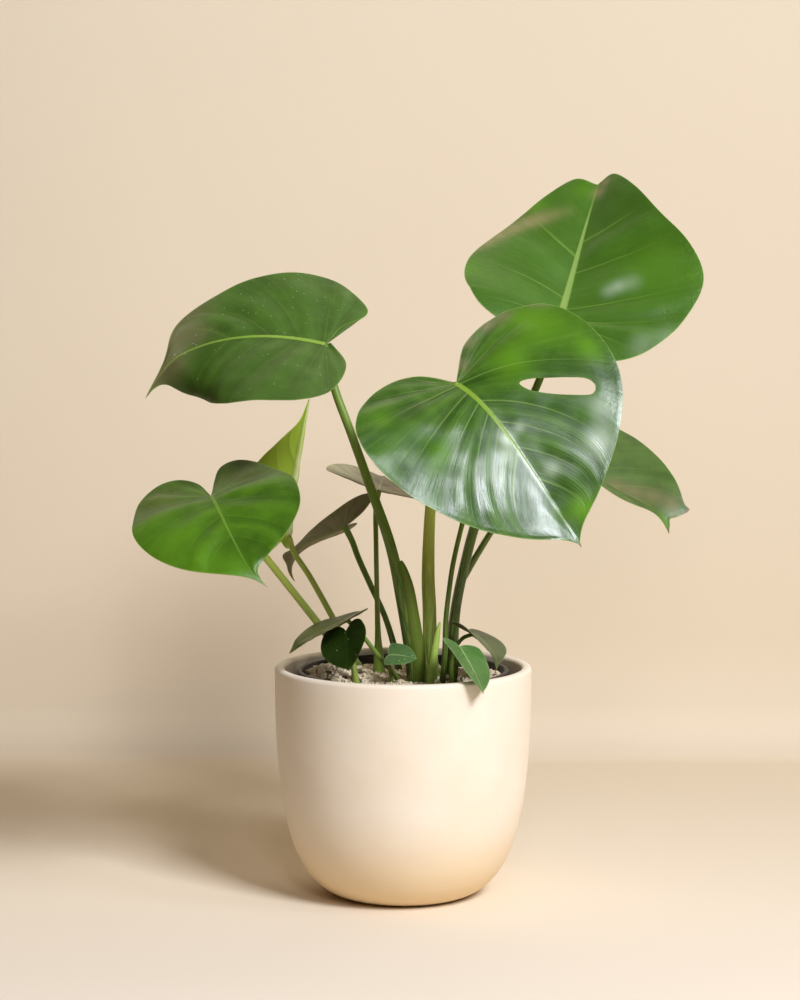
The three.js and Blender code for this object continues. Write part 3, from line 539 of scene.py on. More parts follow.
def even_outline(leaf, side, length, share):
    """The side's outline at even shares of its own length"""
    points = leaf.get("left" if side < 0 else "right")
    if not points:
        points = [[x * leaf["half_width"], (y * leaf["lobe"] if y < 0 else y) * length] for x, y in HEART]
    t = np.linspace(0, 1, 1201)
    gone = reached(outline(points, length, side, t))
    return outline(points, length, side, np.interp(share, gone / gone[-1], t))


def smooth_ring(points):
    """Closed smooth curve through the points"""
    closed = np.vstack([points[-1:], points, points[:2]])
    w = np.arange(0, 1, 0.1)[:, None]
    bends = []
    for k in range(len(points)):
        a, b, c, d = closed[k:k + 4]
        bends.append(curve_on(b, c, (c - a) / 2, (d - b) / 2, w))
    return np.vstack(bends)


def inside(spots, ring):
    """Which of the spots lie inside a closed ring"""
    ahead = np.roll(ring, -1, axis=0)
    x, y = spots[:, :1], spots[:, 1:2]
    spans = (ring[:, 1] > y) != (ahead[:, 1] > y)
    rise = np.where(np.abs(ahead[:, 1] - ring[:, 1]) < 1e-9, 1e-9, ahead[:, 1] - ring[:, 1])
    cross = ring[:, 0] + (y - ring[:, 1]) / rise * (ahead[:, 0] - ring[:, 0])
    return np.count_nonzero(spans & (x < cross), axis=1) % 2 == 1


def pick(piece, kind, chosen):
    """Leaves the piece in edit mode with just these corners or faces selected"""
    work_on(piece)
    bpy.ops.object.mode_set(mode="EDIT")
    bpy.ops.mesh.select_mode(type=kind)
    bpy.ops.mesh.select_all(action="DESELECT")
    bpy.ops.object.mode_set(mode="OBJECT")
    parts = piece.data.vertices if kind == "VERT" else piece.data.polygons
    parts.foreach_set("select", chosen)
    bpy.ops.object.mode_set(mode="EDIT")


def cut_slot(piece, ring):
    """Cuts a slot: the nearest corners move onto its outline, faces split there and the inner ones go"""
    mesh = piece.data
    flat = places(mesh)[:, :2] / MM
    within = inside(flat, ring)
    ends = np.array([e.vertices[:] for e in mesh.edges])
    ends = ends[within[ends[:, 0]] != within[ends[:, 1]]]
    ends = np.where(within[ends[:, :1]], ends, ends[:, ::-1])

    # How far along each crossing edge the slot's outline lies
    low, high = np.zeros(len(ends)), np.ones(len(ends))
    for _ in range(12):
        middle = (low + high) / 2
        spot = flat[ends[:, 0]] + (flat[ends[:, 1]] - flat[ends[:, 0]]) * middle[:, None]
        still = inside(spot, ring)
        low, high = np.where(still, middle, low), np.where(still, high, middle)

    kept = {name: read_attribute(mesh, name) for name in ("ribs", "margin", "laid")}
    old = {name: values.copy() for name, values in kept.items()}
    moved = flat.copy()
    on_edge = set()
    for (first, last), share in zip(ends, low):
        near, far, way = (first, last, share) if share < 0.5 else (last, first, 1 - share)
        if near not in on_edge:
            on_edge.add(near)
            moved[near] = flat[near] + (flat[far] - flat[near]) * way
            for name in kept:
                kept[name][near] = old[name][near] + (old[name][far] - old[name][near]) * way
    place_all(mesh, np.column_stack([moved, np.zeros(len(moved))]) * MM)
    for name, values in kept.items():
        keep_attribute(mesh, name, values)
    chosen = np.zeros(len(moved), bool)
    chosen[list(on_edge)] = True
    pick(piece, "VERT", chosen)
    bpy.ops.mesh.vert_connect()
    bpy.ops.object.mode_set(mode="OBJECT")
    centres = np.array([face.center[:2] for face in mesh.polygons]) / MM
    pick(piece, "FACE", inside(centres, ring))
    bpy.ops.mesh.delete(type="FACE")
    bpy.ops.mesh.select_mode(type="VERT")
    bpy.ops.object.mode_set(mode="OBJECT")


def rib_count(ribs, share, q):
    """How many side ribs lie between the notch and each point, and a half: whole at each rib"""
    ribs = np.array(ribs, float)
    numbers = np.concatenate([[0.5], np.arange(1, len(ribs) + 1), [len(ribs) + 0.6]])
    count = np.empty_like(share)
    for level in np.unique(q):
        here = q == level
        lines = np.concatenate([[0], ribs[:, 0] + ribs[:, 1] * level, [1.06]])
        count[here] = np.interp(share[here], lines, numbers)
    return count


def panel_width(x, y, count, order, shape):
    """How wide the blade is from one side rib to the next at each point, in mm"""
    half = shape[1] // 2
    sheet = np.empty((3, shape[0] * shape[1]))
    for row, values in enumerate((x, y, count)):
        sheet[row, order] = values
    width = np.ones(shape)
    for columns in (slice(0, half + 1), slice(half, None)):
        gx, gy, gp = [np.gradient(s.reshape(shape)[:, columns]) for s in sheet]
        area = gx[0] * gy[1] - gx[1] * gy[0]
        area = np.where(np.abs(area) < 1e-4, 1e-4, area)
        slope_x = (gp[0] * gy[1] - gp[1] * gy[0]) / area
        slope_y = (gp[1] * gx[0] - gp[0] * gx[1]) / area
        width[:, columns] = 1 / np.maximum(np.hypot(slope_x, slope_y), 1e-3)
    return np.clip(width.ravel()[order], 0.4, 30)


def patch_share(spots, x, y):
    """How strongly soft round spots (x, y, radius, share) tint a point, 0 to 1"""
    bare = np.ones_like(x)
    for at_x, at_y, radius, share in spots:
        bare *= 1 - share * np.exp(-((x - at_x) ** 2 + (y - at_y) ** 2) / (radius * radius))
    return 1 - bare


def flat_blade(name, leaf, length):
    """The blade laid flat, with its thickness, and how many of its corners came before that.
    Rows of the grid fan out from the notch, then leave the midrib one by one."""
    rows, half = leaf["grid"]
    piece = flat_grid(name, 2 * half, rows)
    mesh = piece.data
    grid = places(mesh)
    i = np.rint((grid[:, 1] + 0.5) * rows).astype(int)
    j = np.rint(grid[:, 0] * 2 * half).astype(int)
    row_share = np.arange(rows + 1) / rows
    start = length * np.maximum(0, (row_share - FAN_END) / (1 - FAN_END)) ** FAN_POWER
    ends = {side: even_outline(leaf, side, length, row_share) for side in (-1, 1)}
    end = np.where((j < 0)[:, None], ends[-1][i], ends[1][i])
    q = np.abs(j) / half
    share = row_share[i]
    x = end[:, 0] * q
    y = start[i] + (end[:, 1] - start[i]) * q

    # Side ribs: a count that rises by one from rib to rib, and the blade's width from rib to rib
    counts = [rib_count(leaf.get(side, RIBS), share, q) for side in ("left_ribs", "right_ribs")]
    count = np.where(j < 0, *counts)
    shape = (rows + 1, 2 * half + 1)
    step = panel_width(x, y, count, i * shape[1] + (j + half), shape)

    flat = np.stack([x, y], axis=1)
    rim = np.vstack([even_outline(leaf, side, length, np.linspace(0, 1, 420)) for side in (-1, 1)])
    ring = smooth_ring(np.array(leaf["slot"], float)) if "slot" in leaf else None
    if ring is not None:
        rim = np.vstack([rim, ring])
    edge = np.concatenate([
        np.sqrt(((part[:, None] - rim[None]) ** 2).sum(axis=2).min(axis=1))
        for part in np.array_split(flat, 12)
    ])
    spine_w = leaf.get("midrib_w", MIDRIB_W) * np.clip(1 - y / length, 0, 1) + 0.3
    spine = np.abs(x) / spine_w + np.maximum(-y, 0) / 2
    keep_attribute(mesh, "laid", np.stack([share, q * np.where(j < 0, -1, 1), step], axis=1))
    keep_attribute(mesh, "ribs", np.stack([count + 40 * (j >= 0), step, q], axis=1))
    keep_attribute(mesh, "margin", np.stack([edge, spine, y / length], axis=1))
    place_all(mesh, np.stack([x, y, x * 0], axis=1) * MM)
    if ring is not None:
        cut_slot(piece, ring)
    edit(piece, weld)
    upper = len(mesh.vertices)
    work_on(piece)
    wall = piece.modifiers.new("wall", "SOLIDIFY")
    wall.thickness = BLADE_T * MM
    wall.offset = 0
    bpy.ops.object.modifier_apply(modifier=wall.name)
    return piece, upper


def blade(name, leaf):
    """A leaf blade: bent, quilted between the ribs, waved at the margin, with the ribs standing out below"""
    posture = Posture(leaf)
    length = posture.length
    piece, upper = flat_blade(name, leaf, length)
    mesh = piece.data
    points = places(mesh)
    x, y = points[:, 0] / MM, points[:, 1] / MM
    laid = read_attribute(mesh, "laid")
    share, q, step = laid[:, 0], np.abs(laid[:, 1]), laid[:, 2]
    count = read_attribute(mesh, "ribs")[:, 0]
    margin = read_attribute(mesh, "margin")
    under = (np.arange(len(points)) >= upper).astype(float)
    if points[:upper, 2].mean() < points[upper:, 2].mean():
        under = 1 - under

    # Panels swell between the ribs, each by its own amount
    room = np.clip(step / FULL_PANEL_W, 0, 1.2)
    inner = smooth_step(q, 0.02, 0.3) * (1 - smooth_step(q, 0.7, 1)) * (1 - smooth_step(share, 0.86, 0.98))
    panel = np.floor(count)
    uneven = 0.7 + 0.45 * np.sin(2.1 * panel + 0.9) + 0.3 * np.sin(5 * q + 2 * panel)
    swell = 0.5 - 0.5 * np.cos(2 * math.pi * count)
    quilt = np.where(x < 0, *leaf["quilt"]) * uneven * inner * room * swell

    # Slow lumps all over and a wave along the margin
    lumps = np.sin(x / 7.3 + 1.1) * np.sin(y / 8.9 + 0.4)
    lumps += 0.6 * np.sin(x / 4.1 + y / 9 + 2) * np.sin(y / 5.3 - x / 11 + 1.3)
    lumps *= leaf["lumps"] * smooth_step(np.abs(x), 2, 12)
    turns, height = leaf.get("wave", (2, 0.4))
    wave = height * q ** 4 * np.sin(2 * math.pi * turns * share + np.sign(laid[:, 1]) * 1.3)

    # Thickness, and the midrib and side ribs
    thick = (EDGE_T + (BLADE_T - EDGE_T) * smooth_step(margin[:, 0], 0, EDGE_THIN_W)) / 2
    from_rib = np.abs(count - np.rint(count)) * step
    ridge = MIDRIB_H * np.clip(1 - y / length, 0, 1) ** 0.7 * bell(margin[:, 1], 1)
    ridge += RIB_H * (1 - smooth_step(q, 0.6, 1)) * bell(from_rib, RIB_W) * np.clip(step / 6, 0, 1)
    lift = quilt + lumps + wave + np.where(under > 0.5, -thick - ridge, thick + ABOVE_SHARE * ridge)
    place_all(mesh, (posture.at(x, y) + posture.normal(x, y) * lift[:, None]) * MM)

    # Patches of painted light: olive sheen or shade, glow and grey sheen; dull patches only lower the shine
    patches = {key: patch_share(leaf.get(key, []), x, y) for key in ("dull", "painted_sheen", "olive_painted_light", "painted_glow")}
    keep_attribute(mesh, "dull", patches["dull"])
    keep_attribute(mesh, "painted_sheen", patches["painted_sheen"])
    keep_attribute(mesh, "tone", np.stack([under, patches["olive_painted_light"], patches["painted_glow"]], axis=1))
    return piece


# Stalks

def smooth_path(points, count):
    """Even steps along the smooth curve through the points, with the radius as a fourth value"""
    knots = np.array(points, float)
    knots = np.vstack([2 * knots[0] - knots[1], knots, 2 * knots[-1] - knots[-2]])
    spans = lengths(np.diff(knots[:, :3], axis=0)) ** 0.5
    track = []
    for k in range(1, len(knots) - 2):
        a, b, c, d = knots[k - 1], knots[k], knots[k + 1], knots[k + 2]
        e, f, g = spans[k - 1], spans[k], spans[k + 1]
        start = ((b - a) / e - (c - a) / (e + f) + (c - b) / f) * f
        end = ((c - b) / f - (d - b) / (f + g) + (d - c) / g) * f
        for w in np.linspace(0, 1, 24, endpoint=False):
            track.append(curve_on(b, c, start, end, w))
    track.append(knots[-2])
    track = np.array(track)
    reach = reached(track[:, :3])
    even = np.linspace(0, reach[-1], count)
    return np.stack([np.interp(even, reach, track[:, k]) for k in range(4)], axis=1), even


def stalk_piece(name, points, groove=0.0, joint=0.0, sides=20, rings=70):
    """A grid rolled into a tube along its path and closed at both ends.
    groove flattens its inner side, and joint swells its head."""
    piece = flat_grid(name, sides, rings)
    mesh = piece.data
    grid = places(mesh)
    path, reach = smooth_path(points, rings - 1)
    length = reach[-1]
    tangent = unit(np.gradient(path[:, :3], axis=0))

    # The inner side faces the middle of the crown all the way up
    inward = np.array(CROWN_MIDDLE) - path[:, :3].mean(axis=0)
    inward[2] = 0
    normals = []
    hold = inward / np.linalg.norm(inward)
    for k in range(len(path)):
        hold = hold - tangent[k] * np.dot(hold, tangent[k])
        hold /= np.linalg.norm(hold)
        normals.append(hold)
    normals = np.array(normals)
    sideways = np.cross(tangent, normals)

    i = np.rint((grid[:, 1] + 0.5) * rings).astype(int)
    ring = np.clip(i - 1, 0, rings - 2)
    angle = -(grid[:, 0] + 0.5) * 2 * math.pi
    share = reach[ring] / length
    turned_by = np.abs((angle + math.pi) % (2 * math.pi) - math.pi)
    flat_side = groove * bell(turned_by, 0.5) - 0.5 * groove * bell(turned_by - 0.95, 0.25)
    radius = path[ring, 3] * (1 - flat_side * (1 - smooth_step(share, 0.55, 0.9)))
    radius *= 1 + joint * bell(length - reach[ring], JOINT_H)
    radius[(i == 0) | (i == rings)] = 0
    around = normals[ring] * np.cos(angle)[:, None] + sideways[ring] * np.sin(angle)[:, None]
    keep_attribute(mesh, "along", np.stack([reach[ring], share, (grid[:, 0] + 0.5)], axis=1))
    place_all(mesh, (path[ring, :3] + around * radius[:, None]) * MM)
    edit(piece, weld, face_out)
    return piece


# Materials

# Colours of painted light on the blades: a bright glow green and a grey sheen
PAINTED_GLOW_GREEN = "#5e9018"
PAINTED_SHEEN_GREY = "#c2d0b8"
DRY_TIP = "#6b4a26"
DUST_SPECK = "#c9d2b8"
STALK_FLECK = "#a9b86f"
LIGHT_DEPTH = 0.0015


def add(tree, kind, settings):
    """Adds a shader node. A setting is a property of it, or a socket's number, hex colour or source"""
    made = tree.nodes.new(kind)
    for key, value in settings.items():
        if isinstance(value, bpy.types.NodeSocket):
            tree.links.new(value, made.inputs[key])
        elif isinstance(key, str) and hasattr(made, key):
            setattr(made, key, value)
        else:
            made.inputs[key].default_value = linear(value) if isinstance(value, str) else value
    return made


def noise(tree, where, scale, detail=2.0, rough=0.5, twist=0.0):
    """Clouds of noise, as many to the metre as scale says"""
    return add(tree, "ShaderNodeTexNoise", {
        "Vector": where, "Scale": scale, "Detail": detail, "Roughness": rough, "Distortion": twist,
    }).outputs["Fac"]


def span(tree, value, low, high, to_low=0.0, to_high=1.0, way="LINEAR"):
    """Stretches what lies from low to high to reach from to_low to to_high"""
    return add(tree, "ShaderNodeMapRange", {
        "interpolation_type": way, "Value": value, "From Min": low, "From Max": high,
        "To Min": to_low, "To Max": to_high,
    }).outputs[0]


def maths(tree, operation, *terms):
    """One sum on numbers and sockets"""
    return add(tree, "ShaderNodeMath", {"operation": operation, **dict(enumerate(terms))}).outputs[0]


def blend(tree, share, first, second):
    """Two colours mixed, all first at a share of 0 and all second at 1"""
    return add(tree, "ShaderNodeMix", {"data_type": "RGBA", 0: share, 6: first, 7: second}).outputs[2]


def split(tree, vector):
    return add(tree, "ShaderNodeSeparateXYZ", {0: vector}).outputs


def attribute(tree, name, kind="Vector"):
    return add(tree, "ShaderNodeAttribute", {"attribute_name": name}).outputs[kind]


def relief(tree, height, strength, depth):
    return add(tree, "ShaderNodeBump", {"Height": height, "Strength": strength, "Distance": depth}).outputs[0]


def new_material(name):
    """An empty material, its node tree, and the place on the piece in metres"""
    material = bpy.data.materials.new(name)
    material.use_nodes = True
    tree = material.node_tree
    tree.nodes.clear()
    return material, tree, add(tree, "ShaderNodeTexCoord", {}).outputs["Object"]


def close_material(material, settings):
    tree = material.node_tree
    surface = add(tree, "ShaderNodeBsdfPrincipled", settings)
    add(tree, "ShaderNodeOutputMaterial", {"Surface": surface.outputs[0]})
    return material


def leaf_blade(name, top, deep, pale, vein, midrib, under, rough=0.4, coat=0.0, ribs=0.5, spine=1.0,
               spine_fade=0.4, streaks=0.14, specks=0.0, wrinkle=0.3, grain=0.55, dry_tip=1.0,
               olive_painted_light="#6f6a44", painted_panel_light=0.4, painted_rib_shade=0.3):
    """Living leaf blade: waxy skin with a broad soft shine, light glowing through, pale sunken ribs, and
    painted light and shade in patches, on the panels and in the dips
    """
    material, tree, where = new_material(name)
    rib, rim, tint = [split(tree, attribute(tree, key)) for key in ("ribs", "margin", "tone")]

    # Clouds of deeper green, 15 mm across, and a paler middle to each panel between ribs: painted light on
    # each panel's swell, with painted shade towards the ribs
    cloudy = span(tree, noise(tree, where, 65.0, 4.0, 0.6), 0.35, 0.68)
    body = blend(tree, cloudy, deep, top)
    to_rib = maths(tree, "PINGPONG", rib["X"], 0.5)
    body = blend(tree, span(tree, to_rib, 0.1, 0.5, 0.0, painted_panel_light), body, pale)

    # Painted shade: deeper green in the dip beyond each rib, on the side away from the light
    beyond = maths(tree, "FRACT", rib["X"])
    body = blend(tree, span(tree, beyond, 0.02, 0.4, painted_rib_shade, 0.0), body, deep)

    # Fine streaks that run beside the ribs, about 1.5 mm apart
    across = maths(tree, "MULTIPLY", rib["X"], 7.0)
    beside = add(tree, "ShaderNodeCombineXYZ", {0: across, 1: rib["Z"]}).outputs[0]
    streak = noise(tree, beside, 1.6, 3.0, 0.6)
    streaky = span(tree, streak, 0.5, 0.75, 0.0, streaks)
    body = blend(tree, streaky, body, vein)

    # Painted light: a bright glow green where light falls on or shines through the blade, an olive-brown
    # painted sheen (painted shade on some leaves), and a painted grey sheen where the skin shines most
    body = blend(tree, tint["Z"], body, PAINTED_GLOW_GREEN)
    body = blend(tree, tint["Y"], body, olive_painted_light)
    # Painted sheen: grey patches where the skin shines most
    body = blend(tree, attribute(tree, "painted_sheen", "Fac"), body, PAINTED_SHEEN_GREY)

    # Side ribs, 0.9 mm wide at the midrib and 0.4 mm at the margin
    line_w = span(tree, rib["Z"], 0.0, 1.0, 0.8, 0.35)
    from_rib = maths(tree, "MULTIPLY", to_rib, rib["Y"])
    line = span(tree, maths(tree, "DIVIDE", from_rib, line_w), 1.0, 0.2, way="SMOOTHSTEP")
    fade = span(tree, rib["Z"], 0.3, 0.9, ribs, 0.1 * ribs)
    line = maths(tree, "MULTIPLY", line, fade)
    body = blend(tree, line, body, vein)

    # Midrib, yellow green and broad at the notch, fading towards the tip
    middle = span(tree, rim["Y"], 1.15, 0.6, way="SMOOTHSTEP")
    fade = span(tree, rim["Z"], spine_fade, 1.0, spine, 0.25 * spine)
    middle = maths(tree, "MULTIPLY", middle, fade)
    body = blend(tree, middle, body, midrib)

    # Underside, a thin pale line round the margin and a dry brown tip
    below = blend(tree, line, under, vein)
    below = blend(tree, streaky, below, deep)
    below = blend(tree, middle, below, midrib)
    body = blend(tree, tint["X"], body, below)
    body = blend(tree, span(tree, rim["X"], 0.7, 0.2, 0.0, 0.5), body, vein)
    body = blend(tree, span(tree, rim["Z"], 0.975, 0.99, 0.0, dry_tip), body, DRY_TIP)

    # Dust specks, 0.5 mm
    dust = add(tree, "ShaderNodeTexVoronoi", {"Vector": where, "Scale": 220.0}).outputs["Distance"]
    body = blend(tree, span(tree, dust, 0.09, 0.05, 0.0, specks), body, DUST_SPECK)

    # Relief: ribs sunk, streaks, skin pores of 0.4 mm, creases that grow towards the margin
    crease = noise(tree, where, 170.0, 3.0, twist=1.2)
    outer = span(tree, rib["Z"], 0.72, 0.98, wrinkle, 4.0 * wrinkle)
    height = maths(tree, "MULTIPLY", crease, outer)
    height = maths(tree, "MULTIPLY_ADD", noise(tree, where, 2200.0), 0.12, height)
    height = maths(tree, "MULTIPLY_ADD", line, -0.25, height)
    height = maths(tree, "MULTIPLY_ADD", streak, grain, height)
    skin = relief(tree, height, 0.7, 0.0004)
    shine = span(tree, crease, 0.0, 1.0, rough - 0.05, rough + 0.08)
    shine = maths(tree, "MULTIPLY_ADD", tint["X"], 0.15, shine)

    # A wax coat, dull in patches
    wax = {}
    if coat:
        dull = attribute(tree, "dull", "Fac")
        shine = maths(tree, "MULTIPLY_ADD", dull, 0.4, shine)
        wax = {
            "Coat Weight": span(tree, dull, 0.0, 1.0, coat, 0.0), "Coat Roughness": 0.22, "Coat IOR": 1.45,
            "Coat Normal": skin, "Specular IOR Level": span(tree, dull, 0.0, 1.0, 0.5, 0.1),
        }
    return close_material(material, {
        "Base Color": body, "Roughness": shine, "Normal": skin, "IOR": 1.45, "Subsurface Weight": 0.25,
        "Subsurface Radius": (0.6, 1.0, 0.15), "Subsurface Scale": LIGHT_DEPTH, **wax,
    })


def leaf_stalk(name, foot, head, stripe, rough=0.42):
    """Living leaf stalk: smooth waxy skin with fine lines along it and a few pale flecks, shading from the
    foot colour to the head colour; a dark foot is painted shade at the crown
    """
    material, tree, where = new_material(name)
    along, rise, round_share = split(tree, attribute(tree, "along"))
    # From foot to head colour; where the foot colour is dark it is painted shade among the stalk bases
    body = blend(tree, span(tree, rise, 0.2, 0.7), foot, head)
    turn = maths(tree, "MULTIPLY", round_share, 2 * math.pi)
    across, inward = maths(tree, "COSINE", turn), maths(tree, "SINE", turn)
    drawn_out = maths(tree, "MULTIPLY", along, 0.012)
    stretched = add(tree, "ShaderNodeCombineXYZ", {0: across, 1: inward, 2: drawn_out}).outputs[0]
    lines = noise(tree, stretched, 7.0, 3.0, 0.6)
    body = blend(tree, span(tree, lines, 0.4, 0.75, 0.0, 0.7), body, stripe)
    flecks = span(tree, noise(tree, where, 900.0), 0.66, 0.74, 0.0, 0.35)
    body = blend(tree, flecks, body, STALK_FLECK)
    return close_material(material, {
        "Base Color": body, "Roughness": rough, "Normal": relief(tree, lines, 0.4, 0.00015), "IOR": 1.45,
        "Subsurface Weight": 0.1, "Subsurface Radius": (0.6, 1.0, 0.2), "Subsurface Scale": LIGHT_DEPTH,
    })


def matt_stoneware():
    """Cream stoneware under a matt glaze: soft shine, faint clouds, fine tooth, and a warmer foot that is
    painted warm light bounced up from the floor
    """
    material, tree, where = new_material("matt_stoneware")
    cloud = noise(tree, where, 24.0, 5.0, 0.55)
    body = blend(tree, span(tree, cloud, 0.3, 0.7), "#ebdcc4", "#f0e3cf")
    # Painted bounce light: warmer towards the foot
    foot = span(tree, split(tree, where)["Z"], 0.07, 0.0, 0.0, 0.6, way="SMOOTHSTEP")
    body = blend(tree, foot, body, "#e6c27f")
    tooth = noise(tree, where, 1500.0, 3.0)
    height = maths(tree, "MULTIPLY_ADD", noise(tree, where, 55.0), 5.0, tooth)
    return close_material(material, {
        "Base Color": body, "Roughness": span(tree, cloud, 0.0, 1.0, 0.5, 0.66),
        "Normal": relief(tree, height, 0.35, 0.0001), "IOR": 1.5,
    })


def moulded_polypropylene():
    """Thin black polypropylene as moulded: satin, with dry dust and chalk on it"""
    material, tree, where = new_material("moulded_polypropylene")
    dust = noise(tree, where, 130.0, 6.0, 0.7)
    return close_material(material, {
        "Base Color": blend(tree, span(tree, dust, 0.5, 0.8, 0.0, 0.8), "#1d1b1a", "#62594c"),
        "Roughness": span(tree, dust, 0.0, 1.0, 0.35, 0.7),
        "Normal": relief(tree, dust, 0.3, 0.0002), "IOR": 1.49,
    })


def crushed_pumice(name, light, dark):
    """Crushed pumice: chalky, each chip its own beige, pitted with tiny bubbles that are darkened with
    painted shade
    """
    material, tree, where = new_material(name)
    body = blend(tree, split(tree, attribute(tree, "chip"))["X"], light, dark)
    pits = noise(tree, where, 1400.0, 3.0, 0.65)
    # Painted shade: darker in the pits
    body = blend(tree, span(tree, pits, 0.5, 0.3, 0.0, 0.45), body, "#8f7f66")
    return close_material(material, {
        "Base Color": body, "Roughness": 0.95, "Normal": relief(tree, pits, 0.8, 0.0004), "IOR": 1.5,
    })


def potting_soil():
    """Peaty potting soil: dark crumbs of 2 to 4 mm with a few lighter fibres"""
    material, tree, where = new_material("potting_soil")
    crumb = add(tree, "ShaderNodeTexVoronoi", {"Vector": where, "Scale": 350.0}).outputs["Distance"]
    fibre = span(tree, noise(tree, where, 500.0, 4.0), 0.45, 0.8)
    return close_material(material, {
        "Base Color": blend(tree, fibre, "#241a12", "#5a4632"), "Roughness": 0.95,
        "Normal": relief(tree, crumb, 1.0, 0.001),
    })


def paper_with_painted_light():
    """Photographer's background paper in pale cream, matt, with painted light: paler in front and deeper to
    the right to even out the key light, and painted shade low on the wall
    """
    material, tree, where = new_material("paper_with_painted_light")
    x, y, z = split(tree, where)
    body = blend(tree, noise(tree, where, 3.0), "#e7d7bb", "#eadbc1")
    # Painted shade: deeper to the right, against the key light's extra brightness there
    body = blend(tree, span(tree, x, -0.2, 0.45), body, "#dccdb4")
    # Painted light: paler in front
    body = blend(tree, span(tree, y, 0.3, -0.4), body, "#f0e4d2")
    # Painted shade low on the wall, near the floor
    low = maths(tree, "MULTIPLY", span(tree, z, 0.3, 0.0, 0.0, 0.1), span(tree, y, 0.2, 0.5))
    body = blend(tree, low, body, "#d3c2a6")
    return close_material(material, {"Base Color": body, "Roughness": 0.9, "Specular IOR Level": 0.2})


# Each blade's slot, its top, deep, pale, vein, midrib and underside colours, and its skin
FINISHES = {
    "top_right": ("leaf", ["#456d1a", "#3e6515", "#568030", "#8fae4c", "#839f4e", "#6f8a3c"], {
        "rough": 0.38, "ribs": 0.3, "painted_panel_light": 0.25, "painted_rib_shade": 0.4, "wrinkle": 0.4, "dry_tip": 0.0,
        "spine_fade": 0.7, "streaks": 0.06, "olive_painted_light": "#938a5c",
    }),
    "front": ("leaf", ["#41681a", "#294c0d", "#547c26", "#8fae54", "#7c9c2a", "#6f8a3c"], {
        "rough": 0.32, "coat": 0.5, "ribs": 0.35, "spine_fade": 0.3, "wrinkle": 0.15, "grain": 0.8,
        "painted_rib_shade": 0.7, "olive_painted_light": "#77734f",
    }),
    "top_left": ("leaf", ["#476a1e", "#395617", "#52762a", "#7f9a4a", "#86a63e", "#6b7440"], {
        "rough": 0.42, "specks": 0.6, "ribs": 0.14, "spine_fade": 0.3, "streaks": 0.08, "wrinkle": 0.3,
        "painted_rib_shade": 0.45, "olive_painted_light": "#6d6644",
    }),
    "right": ("leaf", ["#4f6a2a", "#3f5820", "#5b7634", "#7f934e", "#7f934e", "#6b7440"], {
        "rough": 0.42, "ribs": 0.25, "spine": 0.2, "olive_painted_light": "#77724a",
    }),
    "lower_left": ("leaf", ["#4c7612", "#335608", "#5a841a", "#84a33e", "#6f9430", "#6b7f34"], {
        "rough": 0.38, "ribs": 0.1, "spine": 0.7, "streaks": 0.08, "wrinkle": 0.3, "painted_rib_shade": 0.6,
        "olive_painted_light": "#66683a",
    }),
    "unrolling": ("leaf_young", ["#a6c23e", "#8cac34", "#b2cd4c", "#c6d47a", "#d0dc98", "#a6c23e"], {
        "rough": 0.32, "ribs": 0.1, "streaks": 0.08, "olive_painted_light": "#6c7f1e",
    }),
    "inner_left": ("leaf_olive", ["#566238", "#5a5440", "#606c40", "#9c9474", "#8c8c62", "#8d8468"], {
        "rough": 0.5, "ribs": 0.4, "streaks": 0.6,
    }),
    "inner_back": ("leaf_olive", ["#a39c78", "#77725a", "#aca682", "#b5ae8c", "#b5ae8c", "#8d8668"], {
        "rough": 0.5, "ribs": 0.3, "streaks": 0.5,
    }),
    "small_left": ("leaf_olive", ["#566028", "#454e1e", "#606b32", "#74793f", "#7d8548", "#68614a"], {
        "rough": 0.46, "ribs": 0.3,
    }),
    "small_dark": ("leaf_dark", ["#22380a", "#182a05", "#2b420d", "#34500f", "#2f4a10", "#3f5524"], {
        "rough": 0.36, "specks": 0.9, "ribs": 0.2, "spine": 0.5,
    }),
    "small_centre": ("leaf", ["#4d6d38", "#3e5f2e", "#587842", "#7c9560", "#7a985c", "#5d8a5c"], {
        "rough": 0.42, "specks": 0.8, "ribs": 0.2,
    }),
    "over_rim": ("leaf", ["#4c7834", "#3b6426", "#5a853c", "#8aa66a", "#8cae66", "#5d8a5c"], {
        "rough": 0.38, "specks": 0.8, "ribs": 0.4, "wrinkle": 0.6,
    }),
    "small_right": ("leaf_olive", ["#525e34", "#434d28", "#5d693e", "#757d4c", "#79804e", "#68614a"], {
        "rough": 0.46, "ribs": 0.3,
    }),
}

# The lighter copies for the front, lower left and unrolling stalks are painted light where those stalks catch
# more light; dark foot colours are painted shade at the crown
stalk_green = leaf_stalk("leaf_stalk_green", "#203a02", "#65802a", "#889c42")
lit_stalk_green = leaf_stalk("stalk_green_painted_lit", "#2f5008", "#a3b244", "#b0bd5a")
sheathed_green = leaf_stalk("sheathed_stalk_green", "#86a83c", "#6f7e30", "#a4b858", 0.45)
STALK_FINISHES = {
    "front": leaf_stalk("front_stalk_green_painted_lit", "#2f5404", "#cbd65e", "#cfd970"),
    "lower_left": lit_stalk_green, "unrolling": lit_stalk_green,
    "inner_back": sheathed_green, "small_dark": sheathed_green,
}

